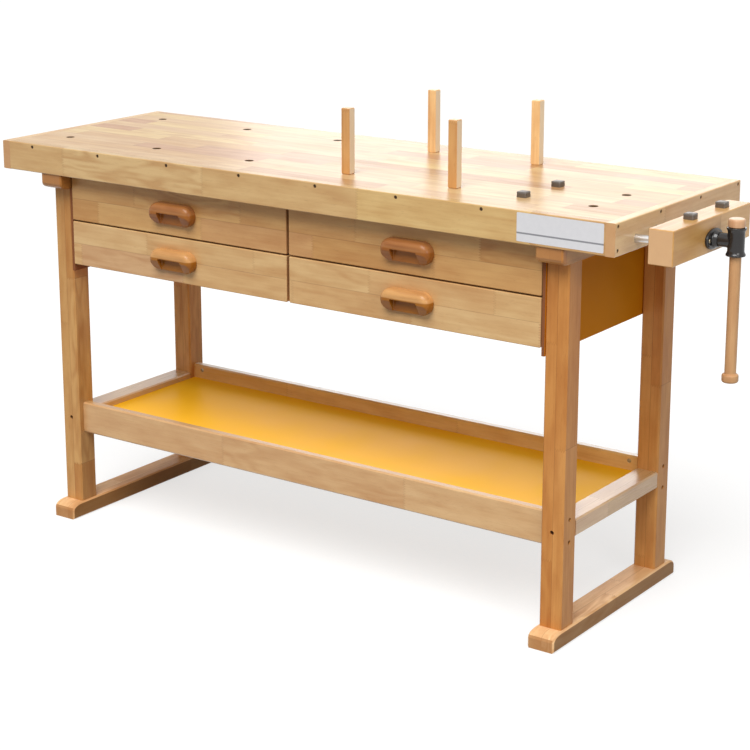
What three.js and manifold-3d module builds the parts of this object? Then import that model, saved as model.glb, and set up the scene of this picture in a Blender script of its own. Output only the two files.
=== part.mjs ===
// A woodworking bench with an end vise, four drawers and a shelf.
// Millimetres, +Z up. X runs along the bench to the vise, Y runs from the front to the rear.

import * as THREE from 'three';
import { mergeVertices } from 'three/addons/utils/BufferGeometryUtils.js';
import Module from 'manifold-3d';

const wasm = await Module();
wasm.setup();

// Bench top: a slab with dog holes inside a frame of boards on edge
const TOP_LENGTH = 1524;
const TOP_DEPTH = 508;
const TOP_HEIGHT = 851;
const SLAB_THICKNESS = 18;
const EDGE_HEIGHT = 62;
const EDGE_THICKNESS = 20;
const BATTEN_WIDTH = 34;
const EASE = 1.5;
const JOINT_GAP = 0.2;

// Countersunk screws along the edge boards
const EDGE_SCREW_HEAD = 7.5;
const EDGE_SCREW_DEPTH = 5;
const EDGE_SCREW_DROP = 7;
const EDGE_SCREW_INSET = 89;
const EDGE_SCREW_COUNT = 8;
const END_SCREW_COUNT = 4;
const END_SCREW_RISE = 11;

// Round dog holes, with the square-headed pegs and bench dogs that stand in them
const DOG_HOLE = 19;
const DOG_CLEARANCE = 0.4;
const DOG_PITCH = 254;
const FIRST_DOG_INSET = 94;
const FRONT_DOG_ROW_INSET = 114;
const REAR_DOG_ROW_INSET = 86;
const VISE_DOG_ROW_GAP = 128;
const VISE_DOG_INSET = 109;
const VISE_DOG_PITCH = 150;
const PEG_SHOULDER = 0.5;
const PEG_RISE = 133;
const PEG_FOOT = 6;
const DOG_SHOULDER = 0.8;
const DOG_RISE = 11;
const DOG_SHANK = 24;
const DOG_GROOVE_RISE = 6.2;
const DOG_GROOVE_HEIGHT = 1;
const DOG_GROOVE_DEPTH = 0.8;
const DOG_CORNER = 3;

// Trestles: two legs tenoned into a foot and a head rail, with a bolted stretcher
const LEG_SIZE = 48.5;
const LEG_END_INSET = 113;
const LEG_FRONT_INSET = 38.5;
const SILL_WIDTH = 58;
const SILL_LENGTH = 500;
const FOOT_HEIGHT = 34;
const HEAD_HEIGHT = 34;
const NOSE_LENGTH = 26;
const NOSE_DROP = 13;
const LEG_EASE = 3;
const TENON_LENGTH = 20;
const TENON_SHOULDER = 10;
const TENON_CLEARANCE = 0.3;
const STRETCHER_HEIGHT = 35;
const STRETCHER_BOTTOM = 211;

// Shelf: two rails bolted between the legs, with a panel in their grooves
const SHELF_RAIL_HEIGHT = 70;
const SHELF_RAIL_THICKNESS = 20;
const SHELF_RAIL_BOTTOM = 194.5;
const SHELF_PANEL_THICKNESS = 6;
const SHELF_PANEL_DROP = 32.5;
const SHELF_GROOVE_DEPTH = 8;
const GROOVE_CLEARANCE = 0.3;
const BOLT_HOLE = 9;
const BOLT_HOLE_DEPTH = 8;
const BOLT_SPREAD = 45.6;
const BARREL_NUT_HOLE = 10;
const BARREL_NUT_DEPTH = 14;
const BARREL_NUT_INSET = 25;

// Drawer case between the trestles
const CASE_PANEL = 6.5;
const CASE_SKIRT = 16;
const CASE_DIVIDER = 18;
const CASE_DIVIDER_SKIRT = 4;
const CASE_BACK = 6;
const CASE_REAR_INSET = 46;
const CASE_FRONT_SETBACK = 3;
const RUNNER_HEIGHT = 14;
const RUNNER_PROJECTION = 6;
const RUNNER_CLEARANCE = 0.8;
const RUNNER_FRONT_GAP = 10;

// Drawers, in two columns and two rows
const FRONT_HEIGHT = 96;
const FRONT_THICKNESS = 19;
const FRONT_PROUD = 4.5;
const FRONT_ROW_GAP = 3.5;
const FRONT_TOP_GAP = 5.5;
const FRONT_SIDE_GAP = 1.5;
const FRONT_MIDDLE_GAP = 6.5;
const BOX_WALL = 12;
const BOX_BOTTOM_INSET = 8;
const BOX_TOP_INSET = 12;
const BOX_REAR_GAP = 14;
const BOTTOM_THICKNESS = 5;
const BOTTOM_RISE = 7;
const BOTTOM_TONGUE = 5;

// Wooden drawer pulls: rounded above, undercut below, with a routed finger slot
const PULL_LENGTH = 116;
const PULL_HEIGHT = 46;
const PULL_DEPTH = 24;
const PULL_ROUND = 13;
const PULL_RIDGE_RISE = 5;
const PULL_FOOT_DEPTH = 8;
const PULL_SLOT_LENGTH = 62;
const PULL_SLOT_WALL = 9;
const PULL_LIP = 1.5;

// End vise: a jaw on two guide rods, moved by a screw
const JAW_GAP = 64;
const JAW_THICKNESS = 49;
const JAW_LENGTH = 312;
const JAW_HEIGHT = 65;
const SCREW_FRONT_INSET = 157;
const SCREW_DIAMETER = 22;
const SCREW_TAIL = 182;
const SCREW_HEAD_SEAT = 12;
const ROD_DIAMETER = 16;
const ROD_SPREAD = 157;
const ROD_TAIL = 182;
const ROD_SEAT = 36;
const RUNNING_CLEARANCE = 0.5;
const VISE_WEB = 3.5;
const SOCKET_FLOOR_GAP = 1;
const COLLAR_DIAMETER = 34;
const COLLAR_LENGTH = 8;
const COLLAR_RECESS = 10;
const NUT_LENGTH = 70;
const NUT_HEIGHT = 42;
const NUT_PLATE = 6;
const NUT_BARREL = 34;
const NUT_BARREL_LENGTH = 22;

// Cast iron flange and handle socket, and the wooden handle
const FLANGE_LENGTH = 66;
const FLANGE_HEIGHT = 38;
const FLANGE_PLATE = 6;
const FLANGE_BOSS = 34;
const FLANGE_BOSS_TOP = 28;
const FLANGE_BOSS_LENGTH = 8;
const SOCKET_REACH = 46;
const SOCKET_SHANK = 26;
const SOCKET_DIAMETER = 31;
const SOCKET_LIP = 36;
const SOCKET_LIP_HEIGHT = 3;
const SOCKET_FLARE = 7;
const SOCKET_HEIGHT = 52;
const HANDLE_DIAMETER = 21.5;
const HANDLE_LENGTH = 304;
const KNOB_DIAMETER = 31;
const KNOB_HEIGHT = 16;
const LOWER_KNOB_HEIGHT = 16;
const KNOB_ROUND = 4;
const KNOB_SEAT = 10;

// Facets of the round forms
const ROUND_FACETS = 24;
const HOLE_FACETS = 12;
const ARC_FACETS = 4;

// Levels and planes that several pieces share
const SLAB_BOTTOM = TOP_HEIGHT - SLAB_THICKNESS;
const EDGE_BOTTOM = TOP_HEIGHT - EDGE_HEIGHT;
const END_X = TOP_LENGTH / 2;
const END_INNER_X = END_X - EDGE_THICKNESS;
const FRONT_Y = -TOP_DEPTH / 2;
const REAR_Y = TOP_DEPTH / 2;
const HEAD_BOTTOM = EDGE_BOTTOM - HEAD_HEIGHT;
const LEG_OUTER_X = END_X - LEG_END_INSET;
const LEG_INNER_X = LEG_OUTER_X - LEG_SIZE;
const LEG_X = (LEG_OUTER_X + LEG_INNER_X) / 2;
const LEG_FRONT_Y = FRONT_Y + LEG_FRONT_INSET;
const LEG_Y = LEG_FRONT_Y + LEG_SIZE / 2;
const LEG_BACK_Y = LEG_FRONT_Y + LEG_SIZE;
const SILL_OVERHANG = (SILL_WIDTH - LEG_SIZE) / 2;
const SHELF_RAIL_TOP = SHELF_RAIL_BOTTOM + SHELF_RAIL_HEIGHT;
const SHELF_RAIL_MIDDLE = SHELF_RAIL_BOTTOM + SHELF_RAIL_HEIGHT / 2;
const SHELF_PANEL_TOP = SHELF_RAIL_TOP - SHELF_PANEL_DROP;
const STRETCHER_MIDDLE = STRETCHER_BOTTOM + STRETCHER_HEIGHT / 2;
const BAY_OUTER_X = LEG_INNER_X - Math.max(CASE_PANEL, SILL_OVERHANG);
const BAY_INNER_X = CASE_DIVIDER / 2;
const DRAWER_FACE_Y = LEG_FRONT_Y - FRONT_PROUD;
const DRAWER_BACK_Y = DRAWER_FACE_Y + FRONT_THICKNESS;
const CASE_REAR_Y = REAR_Y - CASE_REAR_INSET;
const CASE_BACK_Y = CASE_REAR_Y - CASE_BACK;
const BOX_REAR_Y = CASE_BACK_Y - BOX_REAR_GAP;
const UPPER_FRONT_BOTTOM = EDGE_BOTTOM - FRONT_TOP_GAP - FRONT_HEIGHT;
const LOWER_FRONT_BOTTOM = UPPER_FRONT_BOTTOM - FRONT_ROW_GAP - FRONT_HEIGHT;
const CASE_BOTTOM = LOWER_FRONT_BOTTOM - CASE_SKIRT;
const SCREW_BORE = SCREW_DIAMETER + 2 * RUNNING_CLEARANCE;
const ROD_BORE = ROD_DIAMETER + 2 * RUNNING_CLEARANCE;
const SCREW_Y = FRONT_Y + SCREW_FRONT_INSET;
const JAW_SOCKET_DEPTH = DOG_SHANK + SOCKET_FLOOR_GAP;
const VISE_COVER = Math.max(JAW_SOCKET_DEPTH, SLAB_THICKNESS) + VISE_WEB;
const SCREW_Z = TOP_HEIGHT - VISE_COVER - Math.max(SCREW_BORE, ROD_BORE) / 2;
const JAW_INNER_X = END_X + JAW_GAP;
const JAW_OUTER_X = JAW_INNER_X + JAW_THICKNESS;
const JAW_X = (JAW_INNER_X + JAW_OUTER_X) / 2;
const SOCKET_X = JAW_OUTER_X + SOCKET_REACH;
const SOCKET_TOP = SCREW_Z + SOCKET_HEIGHT / 2;
const FRONT_DOG_Y = FRONT_Y + FRONT_DOG_ROW_INSET;
const VISE_DOG_Y = FRONT_DOG_Y + VISE_DOG_ROW_GAP;
const REAR_DOG_Y = REAR_Y - REAR_DOG_ROW_INSET;
const SCREW_AXIS = [0, SCREW_Y, SCREW_Z];
const HANDLE_AXIS = [SOCKET_X, SCREW_Y, 0];
const OUTER_REACH = Math.max(SOCKET_LIP, SOCKET_DIAMETER, KNOB_DIAMETER) / 2;
const CENTRE_X = (SOCKET_X + OUTER_REACH - END_X) / 2;

// Columns of dog holes: one regular run from the left end, and two columns that face the vise
const VISE_DOG_COLUMNS = [END_X - VISE_DOG_INSET - VISE_DOG_PITCH, END_X - VISE_DOG_INSET];
const RUN_START = FIRST_DOG_INSET - END_X;
const RUN_ROOM = VISE_DOG_COLUMNS[0] - 3 * DOG_HOLE - RUN_START;
const RUN_COUNT = Math.max(2, Math.floor(RUN_ROOM / DOG_PITCH) + 1);
const RUN_COLUMNS = Array.from({ length: RUN_COUNT }, (_, i) => RUN_START + i * DOG_PITCH);
const PEG_COLUMNS = RUN_COLUMNS.slice(-2);

// Finishes
const FINISHES = {
  paleWood: { color: 0xe9d2aa, roughness: 0.5, metalness: 0 },
  tanWood: { color: 0xcfa878, roughness: 0.45, metalness: 0 },
  legWood: { color: 0xc08a52, roughness: 0.45, metalness: 0 },
  pullWood: { color: 0x9c5a2a, roughness: 0.3, metalness: 0 },
  plainWood: { color: 0xd8bd92, roughness: 0.7, metalness: 0 },
  yellowPaint: { color: 0xe0a52c, roughness: 0.55, metalness: 0 },
  castIron: { color: 0x2c2c30, roughness: 0.4, metalness: 0.3 },
  brightSteel: { color: 0xc4c6c8, roughness: 0.25, metalness: 1 },
  dogSteel: { color: 0x77706a, roughness: 0.4, metalness: 0.9 },
};

// The bench's own frame has X = 0 at the middle of the top. The group moves it so that
// the whole object, vise and all, is centred over the origin.
const bench = new THREE.Group();
bench.position.set(-CENTRE_X, 0, 0);

function add(name, geometry, finish) {
  const mesh = new THREE.Mesh(geometry, new THREE.MeshStandardMaterial(FINISHES[finish]));
  mesh.name = name;
  bench.add(mesh);
}

// Joining and cutting of closed geometries

const MERGE_TOLERANCE = 1e-4;

function toSolid(geometry) {
  const bare = geometry.clone();
  bare.deleteAttribute('normal');
  bare.deleteAttribute('uv');
  const merged = mergeVertices(bare, MERGE_TOLERANCE);
  const corners = merged.index.array;
  const triangles = [];
  for (let i = 0; i < corners.length; i += 3) {
    const [a, b, c] = corners.slice(i, i + 3);
    if (a !== b && b !== c && c !== a) {
      triangles.push(a, b, c);
    }
  }
  return new wasm.Manifold(new wasm.Mesh({
    numProp: 3,
    vertProperties: new Float32Array(merged.attributes.position.array),
    triVerts: new Uint32Array(triangles),
  }));
}

function toGeometry(solid) {
  const mesh = solid.getMesh();
  const geometry = new THREE.BufferGeometry();
  geometry.setAttribute('position', new THREE.BufferAttribute(mesh.vertProperties, 3));
  geometry.setIndex(new THREE.BufferAttribute(mesh.triVerts, 1));
  geometry.computeVertexNormals();
  return geometry;
}

function cut(body, ...tools) {
  const solids = tools.map(toSolid);
  return toGeometry(solids.reduce((rest, tool) => rest.subtract(tool), toSolid(body)));
}

function join(...bodies) {
  return toGeometry(bodies.map(toSolid).reduce((whole, body) => whole.add(body)));
}

function common(first, second) {
  return toGeometry(toSolid(first).intersect(toSolid(second)));
}

// Basic forms. A span is a pair [low, high] along one axis.

const AXES = {
  x: new THREE.Matrix4().makeBasis(
    new THREE.Vector3(0, 1, 0), new THREE.Vector3(1, 0, 0), new THREE.Vector3(0, 0, -1)),
  y: new THREE.Matrix4(),
  z: new THREE.Matrix4().makeBasis(
    new THREE.Vector3(1, 0, 0), new THREE.Vector3(0, 0, 1), new THREE.Vector3(0, -1, 0)),
};
const SWEEP_X = new THREE.Matrix4().makeBasis(
  new THREE.Vector3(0, 1, 0), new THREE.Vector3(0, 0, 1), new THREE.Vector3(1, 0, 0));
const SWEEP_Y = new THREE.Matrix4().makeBasis(
  new THREE.Vector3(1, 0, 0), new THREE.Vector3(0, 0, 1), new THREE.Vector3(0, -1, 0));

function around(middle, size) {
  return [middle - size / 2, middle + size / 2];
}

function mirrored(span) {
  return [-span[1], -span[0]];
}

function grown(span, margin) {
  return [span[0] - margin, span[1] + margin];
}

function onSide(side, span) {
  return side < 0 ? mirrored(span) : span;
}

function block(x, y, z) {
  const geometry = new THREE.BoxGeometry(x[1] - x[0], y[1] - y[0], z[1] - z[0]);
  return geometry.translate((x[0] + x[1]) / 2, (y[0] + y[1]) / 2, (z[0] + z[1]) / 2);
}

function polygon(points) {
  return new THREE.Shape(points.map(([u, v]) => new THREE.Vector2(u, v)));
}

function rectangle(u, v, clip = 0) {
  if (clip === 0) {
    return polygon([[u[0], v[0]], [u[1], v[0]], [u[1], v[1]], [u[0], v[1]]]);
  }
  return polygon([
    [u[0] + clip, v[0]], [u[1] - clip, v[0]], [u[1], v[0] + clip], [u[1], v[1] - clip],
    [u[1] - clip, v[1]], [u[0] + clip, v[1]], [u[0], v[1] - clip], [u[0], v[0] + clip],
  ]);
}

// Sweeps an outline by a length along +Z, with its end edges eased
function swept(outline, length, ease = 0, facets = ARC_FACETS) {
  const geometry = new THREE.ExtrudeGeometry(outline, {
    depth: length - 2 * ease,
    bevelEnabled: ease > 0,
    bevelThickness: ease,
    bevelSize: ease,
    bevelOffset: -ease,
    bevelSegments: 1,
    curveSegments: facets,
  });
  return geometry.translate(0, 0, ease);
}

// An outline of (y, z) points swept along a span of X
function alongX(outline, x, ease = 0, facets = ARC_FACETS) {
  return swept(outline, x[1] - x[0], ease, facets).applyMatrix4(SWEEP_X).translate(x[0], 0, 0);
}

// An outline of (x, z) points swept along a span of Y
function alongY(outline, y, ease = 0, facets = ARC_FACETS) {
  return swept(outline, y[1] - y[0], ease, facets).applyMatrix4(SWEEP_Y).translate(0, y[1], 0);
}

// An outline of (x, y) points swept along a span of Z
function alongZ(outline, z, ease = 0, facets = ARC_FACETS) {
  return swept(outline, z[1] - z[0], ease, facets).translate(0, 0, z[0]);
}

// A planed board with all its edges eased
function board(x, y, z) {
  return alongZ(rectangle(x, y, EASE), z, EASE);
}

// A round bar or bore along one axis; the centre's own coordinate on that axis is ignored
function round(axis, diameter, span, centre, facets = ROUND_FACETS) {
  const geometry = new THREE.CylinderGeometry(diameter / 2, diameter / 2, span[1] - span[0], facets);
  const place = new THREE.Vector3(...centre);
  place[axis] = (span[0] + span[1]) / 2;
  return geometry.applyMatrix4(AXES[axis]).translate(place.x, place.y, place.z);
}

// A turned form: (radius, height) points from the axis at the low end to the axis at the high end
function turned(axis, points, foot) {
  const profile = points.map(([radius, height]) => new THREE.Vector2(radius, height));
  const geometry = new THREE.LatheGeometry(profile, ROUND_FACETS);
  return geometry.applyMatrix4(AXES[axis]).translate(...foot);
}

// Bench top

function edgeScrewHoles(axis, places, face, depth) {
  const span = grown([face, face], depth);
  return places.map((place) => round(axis, EDGE_SCREW_HEAD, span, place, HOLE_FACETS));
}

function evenly(count, low, high) {
  return Array.from({ length: count }, (_, i) => low + (high - low) * i / (count - 1));
}

const SCREW_LINE_Z = TOP_HEIGHT - EDGE_SCREW_DROP;
const LONG_SCREW_X = evenly(EDGE_SCREW_COUNT, EDGE_SCREW_INSET - END_X, END_X - EDGE_SCREW_INSET);
const END_SCREW_Y = evenly(END_SCREW_COUNT, FRONT_Y + EDGE_THICKNESS / 2, REAR_Y - EDGE_THICKNESS / 2);

const dogPlaces = [
  ...RUN_COLUMNS.flatMap((x) => [[x, FRONT_DOG_Y], [x, REAR_DOG_Y]]),
  ...VISE_DOG_COLUMNS.flatMap((x) => [[x, FRONT_DOG_Y], [x, VISE_DOG_Y]]),
];

function topSlab() {
  const body = block(
    around(0, 2 * (END_INNER_X - JOINT_GAP)),
    around(0, TOP_DEPTH - 2 * (EDGE_THICKNESS + JOINT_GAP)),
    [SLAB_BOTTOM, TOP_HEIGHT]);
  const through = grown([SLAB_BOTTOM, TOP_HEIGHT], EASE);
  const holes = dogPlaces.map(([x, y]) => round('z', DOG_HOLE, through, [x, y, 0]));
  return cut(body, ...holes);
}

// The outer edges of an edge board are eased, and the inner ones stay sharp against the slab
function edgeOutline(outer, inner) {
  const ease = Math.sign(inner - outer) * EASE;
  return polygon([
    [outer + ease, EDGE_BOTTOM], [inner, EDGE_BOTTOM], [inner, TOP_HEIGHT],
    [outer + ease, TOP_HEIGHT], [outer, TOP_HEIGHT - EASE], [outer, EDGE_BOTTOM + EASE],
  ]);
}

function longEdgeBoard(side) {
  const face = side * REAR_Y;
  const outline = edgeOutline(face, face - side * EDGE_THICKNESS);
  const body = alongX(outline, around(0, 2 * (END_INNER_X - JOINT_GAP)));
  const places = LONG_SCREW_X.map((x) => [x, 0, SCREW_LINE_Z]);
  return cut(body, ...edgeScrewHoles('y', places, face, EDGE_SCREW_DEPTH));
}

function endBoard(side) {
  const face = side * END_X;
  const body = alongY(edgeOutline(face, face - side * EDGE_THICKNESS), [FRONT_Y, REAR_Y]);
  const low = EDGE_BOTTOM + END_SCREW_RISE;
  const places = [
    ...END_SCREW_Y.map((y) => [0, y, SCREW_LINE_Z]),
    [0, END_SCREW_Y[0], low],
    [0, END_SCREW_Y[END_SCREW_COUNT - 1], low],
  ];
  const holes = edgeScrewHoles('x', places, face, EDGE_SCREW_DEPTH);
  return side > 0 ? cut(body, ...holes, ...viseBores([END_INNER_X, END_X])) : cut(body, ...holes);
}

const rodPlaces = around(SCREW_Y, ROD_SPREAD);

// Bores for the vise screw and its two guide rods through a span of X
function viseBores(x) {
  const span = grown(x, EASE);
  const rods = rodPlaces.map((y) => round('x', ROD_BORE, span, [0, y, SCREW_Z]));
  return [round('x', SCREW_BORE, span, SCREW_AXIS), ...rods];
}

function crossBatten(side) {
  const x = onSide(side, around(LEG_X, BATTEN_WIDTH));
  const y = around(0, TOP_DEPTH - 2 * (EDGE_THICKNESS + JOINT_GAP));
  const body = block(x, y, [EDGE_BOTTOM, SLAB_BOTTOM - JOINT_GAP]);
  return side > 0 ? cut(body, ...viseBores(x)) : body;
}

add('top_slab', topSlab(), 'paleWood');
add('front_edge_board', longEdgeBoard(-1), 'tanWood');
add('rear_edge_board', longEdgeBoard(1), 'tanWood');
add('left_end_board', endBoard(-1), 'tanWood');
add('right_end_board', endBoard(1), 'tanWood');
add('left_cross_batten', crossBatten(-1), 'plainWood');
add('right_cross_batten', crossBatten(1), 'plainWood');

// Trestles

const TENON_SIZE = LEG_SIZE - 2 * TENON_SHOULDER;

// Foot and head rail share one form: a long block whose ends are rounded over on one side
function sillOutline(flat, nosed) {
  const reach = SILL_LENGTH / 2;
  const straight = reach - NOSE_LENGTH;
  const rise = Math.sign(nosed - flat);
  const shoulder = nosed - rise * NOSE_DROP;
  const quarter = rise * Math.PI / 2;
  const outline = new THREE.Shape();
  outline.moveTo(-reach, flat);
  outline.lineTo(reach, flat);
  outline.absellipse(straight, shoulder, NOSE_LENGTH, NOSE_DROP, 0, quarter, rise < 0);
  outline.absellipse(-straight, shoulder, NOSE_LENGTH, NOSE_DROP, quarter, 2 * quarter, rise < 0);
  return outline;
}

// A tenon, or its mortise with a margin on every side
function tenon(x, y, z, margin = 0) {
  return block(
    grown(around(x, TENON_SIZE), margin), grown(around(y, TENON_SIZE), margin), grown(z, margin));
}

function sill(side, flat, nosed, tenonSpan) {
  const x = onSide(side, around(LEG_X, SILL_WIDTH));
  const body = alongX(sillOutline(flat, nosed), x, LEG_EASE, ARC_FACETS / 2);
  const mortises = [LEG_Y, -LEG_Y].map((y) => tenon(side * LEG_X, y, tenonSpan, TENON_CLEARANCE));
  return cut(body, ...mortises);
}

const FOOT_TENON = [FOOT_HEIGHT - TENON_LENGTH, FOOT_HEIGHT + 2 * JOINT_GAP];
const HEAD_TENON = [HEAD_BOTTOM - 2 * JOINT_GAP, HEAD_BOTTOM + TENON_LENGTH];

// A leg with its two tenons, and the counterbores of the bolts for stretcher and shelf rail
function leg(side, end) {
  const x = onSide(side, [LEG_INNER_X, LEG_OUTER_X]);
  const y = onSide(-end, [LEG_FRONT_Y, LEG_BACK_Y]);
  const shaft = alongZ(rectangle(x, y, LEG_EASE), [FOOT_HEIGHT + JOINT_GAP, HEAD_BOTTOM - JOINT_GAP]);
  const middle = -end * LEG_Y;
  const tenons = [FOOT_TENON, HEAD_TENON].map((z) => tenon(side * LEG_X, middle, z));
  const outerFace = side * LEG_OUTER_X;
  const endFace = -end * LEG_FRONT_Y;
  const boltHeights = around(SHELF_RAIL_MIDDLE, BOLT_SPREAD);
  const sideHoles = boltHeights.map((z) => (
    round('x', BOLT_HOLE, grown([outerFace, outerFace], BOLT_HOLE_DEPTH), [0, middle, z], HOLE_FACETS)));
  const endHole = round('y', BOLT_HOLE, grown([endFace, endFace], BOLT_HOLE_DEPTH),
    [side * LEG_X, 0, STRETCHER_MIDDLE], HOLE_FACETS);
  return cut(join(shaft, ...tenons), ...sideHoles, endHole);
}

function stretcher(side) {
  const x = onSide(side, [LEG_INNER_X, LEG_OUTER_X]);
  const y = around(0, -2 * (LEG_BACK_Y + JOINT_GAP));
  const z = [STRETCHER_BOTTOM, STRETCHER_BOTTOM + STRETCHER_HEIGHT];
  return alongY(rectangle(x, z, LEG_EASE), y);
}

for (const [word, side] of [['left', -1], ['right', 1]]) {
  add(`${word}_foot`, sill(side, 0, FOOT_HEIGHT, FOOT_TENON), 'legWood');
  add(`${word}_head_rail`, sill(side, EDGE_BOTTOM - JOINT_GAP, HEAD_BOTTOM, HEAD_TENON), 'legWood');
  add(`${word}_front_leg`, leg(side, -1), 'legWood');
  add(`${word}_rear_leg`, leg(side, 1), 'legWood');
  add(`${word}_stretcher`, stretcher(side), 'legWood');
}

// Shelf

const SHELF_RAIL_INNER_Y = LEG_Y + SHELF_RAIL_THICKNESS / 2;
const SHELF_PANEL_Z = [SHELF_PANEL_TOP - SHELF_PANEL_THICKNESS, SHELF_PANEL_TOP];

// A rail with the groove for the panel and the cross holes of the barrel nuts in its inner face
function shelfRail(end) {
  const reach = LEG_INNER_X - JOINT_GAP;
  const y = around(-end * LEG_Y, SHELF_RAIL_THICKNESS);
  const outline = rectangle(y, [SHELF_RAIL_BOTTOM, SHELF_RAIL_TOP], LEG_EASE);
  const body = alongX(outline, around(0, 2 * reach));
  const inner = -end * SHELF_RAIL_INNER_Y;
  const groove = block(around(0, 2 * LEG_OUTER_X), grown([inner, inner], SHELF_GROOVE_DEPTH),
    grown(SHELF_PANEL_Z, GROOVE_CLEARANCE));
  const nutHoles = around(0, 2 * (reach - BARREL_NUT_INSET)).flatMap((x) => (
    around(SHELF_RAIL_MIDDLE, BOLT_SPREAD).map((z) => (
      round('y', BARREL_NUT_HOLE, grown([inner, inner], BARREL_NUT_DEPTH), [x, 0, z], HOLE_FACETS)))));
  return cut(body, groove, ...nutHoles);
}

function shelfPanel() {
  const depth = 2 * (SHELF_GROOVE_DEPTH - GROOVE_CLEARANCE - SHELF_RAIL_INNER_Y);
  return block(around(0, 2 * (LEG_INNER_X - GROOVE_CLEARANCE)), around(0, depth), SHELF_PANEL_Z);
}

add('shelf_front_rail', shelfRail(-1), 'tanWood');
add('shelf_rear_rail', shelfRail(1), 'tanWood');
add('shelf_panel', shelfPanel(), 'yellowPaint');

// Drawer case: painted side panels and back, and a divider, with a runner strip for each drawer

const ROWS = [['upper', UPPER_FRONT_BOTTOM], ['lower', LOWER_FRONT_BOTTOM]];
const RUNNER_Y = [DRAWER_BACK_Y + RUNNER_FRONT_GAP, CASE_BACK_Y - JOINT_GAP];

function runnerZ(frontBottom) {
  return around(frontBottom + FRONT_HEIGHT / 2, RUNNER_HEIGHT);
}

function caseSide(side) {
  const panel = block(
    onSide(side, [LEG_INNER_X - CASE_PANEL, LEG_INNER_X - JOINT_GAP]),
    [DRAWER_FACE_Y + CASE_FRONT_SETBACK, CASE_REAR_Y],
    [CASE_BOTTOM, HEAD_BOTTOM - JOINT_GAP]);
  const runnerX = onSide(side, [BAY_OUTER_X - RUNNER_PROJECTION, LEG_INNER_X - CASE_PANEL / 2]);
  const runners = ROWS.map(([, bottom]) => block(runnerX, RUNNER_Y, runnerZ(bottom)));
  return join(panel, ...runners);
}

function caseDivider() {
  const panel = block(
    around(0, CASE_DIVIDER),
    [DRAWER_BACK_Y + CASE_FRONT_SETBACK, CASE_BACK_Y - JOINT_GAP],
    [LOWER_FRONT_BOTTOM - CASE_DIVIDER_SKIRT, SLAB_BOTTOM - JOINT_GAP]);
  const reach = BAY_INNER_X + RUNNER_PROJECTION;
  const runners = ROWS.map(([, bottom]) => block(around(0, 2 * reach), RUNNER_Y, runnerZ(bottom)));
  return join(panel, ...runners);
}

function caseBack() {
  const reach = LEG_INNER_X - Math.max(CASE_PANEL, SILL_OVERHANG) - JOINT_GAP;
  return block(around(0, 2 * reach), [CASE_BACK_Y, CASE_REAR_Y], [CASE_BOTTOM, SLAB_BOTTOM - JOINT_GAP]);
}

add('case_left_side', caseSide(-1), 'yellowPaint');
add('case_right_side', caseSide(1), 'yellowPaint');
add('case_divider', caseDivider(), 'plainWood');
add('case_back', caseBack(), 'yellowPaint');

// Drawers

const BOX_X = [BAY_INNER_X + RUNNER_CLEARANCE, BAY_OUTER_X - RUNNER_CLEARANCE];
const FRONT_X = [FRONT_MIDDLE_GAP / 2, BAY_OUTER_X - FRONT_SIDE_GAP];
const BOX_INNER_X = grown(BOX_X, -BOX_WALL);
const BOTTOM_X = grown(BOX_INNER_X, BOTTOM_TONGUE - GROOVE_CLEARANCE);
const BOTTOM_Y = [
  DRAWER_BACK_Y - BOTTOM_TONGUE + GROOVE_CLEARANCE,
  BOX_REAR_Y - BOX_WALL + BOTTOM_TONGUE - GROOVE_CLEARANCE,
];

function drawerBottomZ(frontBottom) {
  const low = frontBottom + BOX_BOTTOM_INSET + BOTTOM_RISE;
  return [low, low + BOTTOM_THICKNESS];
}

// The groove that the bottom slides into, cut from the front and from the box
function bottomGroove(side, frontBottom) {
  return block(onSide(side, grown(BOTTOM_X, GROOVE_CLEARANCE)), grown(BOTTOM_Y, GROOVE_CLEARANCE),
    grown(drawerBottomZ(frontBottom), GROOVE_CLEARANCE));
}

function drawerFront(side, frontBottom) {
  const body = board(onSide(side, FRONT_X), [DRAWER_FACE_Y, DRAWER_BACK_Y],
    [frontBottom, frontBottom + FRONT_HEIGHT]);
  return cut(body, bottomGroove(side, frontBottom));
}

// Two sides and a back in one U, grooved outside for the runners and inside for the bottom
function drawerBox(side, frontBottom) {
  const [low, high] = onSide(side, BOX_X);
  const front = DRAWER_BACK_Y + JOINT_GAP;
  const outline = polygon([
    [low, front], [low + BOX_WALL, front], [low + BOX_WALL, BOX_REAR_Y - BOX_WALL],
    [high - BOX_WALL, BOX_REAR_Y - BOX_WALL], [high - BOX_WALL, front], [high, front],
    [high, BOX_REAR_Y], [low, BOX_REAR_Y],
  ]);
  const z = [frontBottom + BOX_BOTTOM_INSET, frontBottom + FRONT_HEIGHT - BOX_TOP_INSET];
  const grooveY = [RUNNER_Y[0] - RUNNER_CLEARANCE, BOX_REAR_Y + EASE];
  const grooveZ = grown(runnerZ(frontBottom), RUNNER_CLEARANCE);
  const runnerGrooves = [low, high].map((x) => block(grown([x, x], RUNNER_PROJECTION), grooveY, grooveZ));
  return cut(alongZ(outline, z), ...runnerGrooves, bottomGroove(side, frontBottom));
}

function drawerBottom(side, frontBottom) {
  return block(onSide(side, BOTTOM_X), BOTTOM_Y, drawerBottomZ(frontBottom));
}

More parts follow.
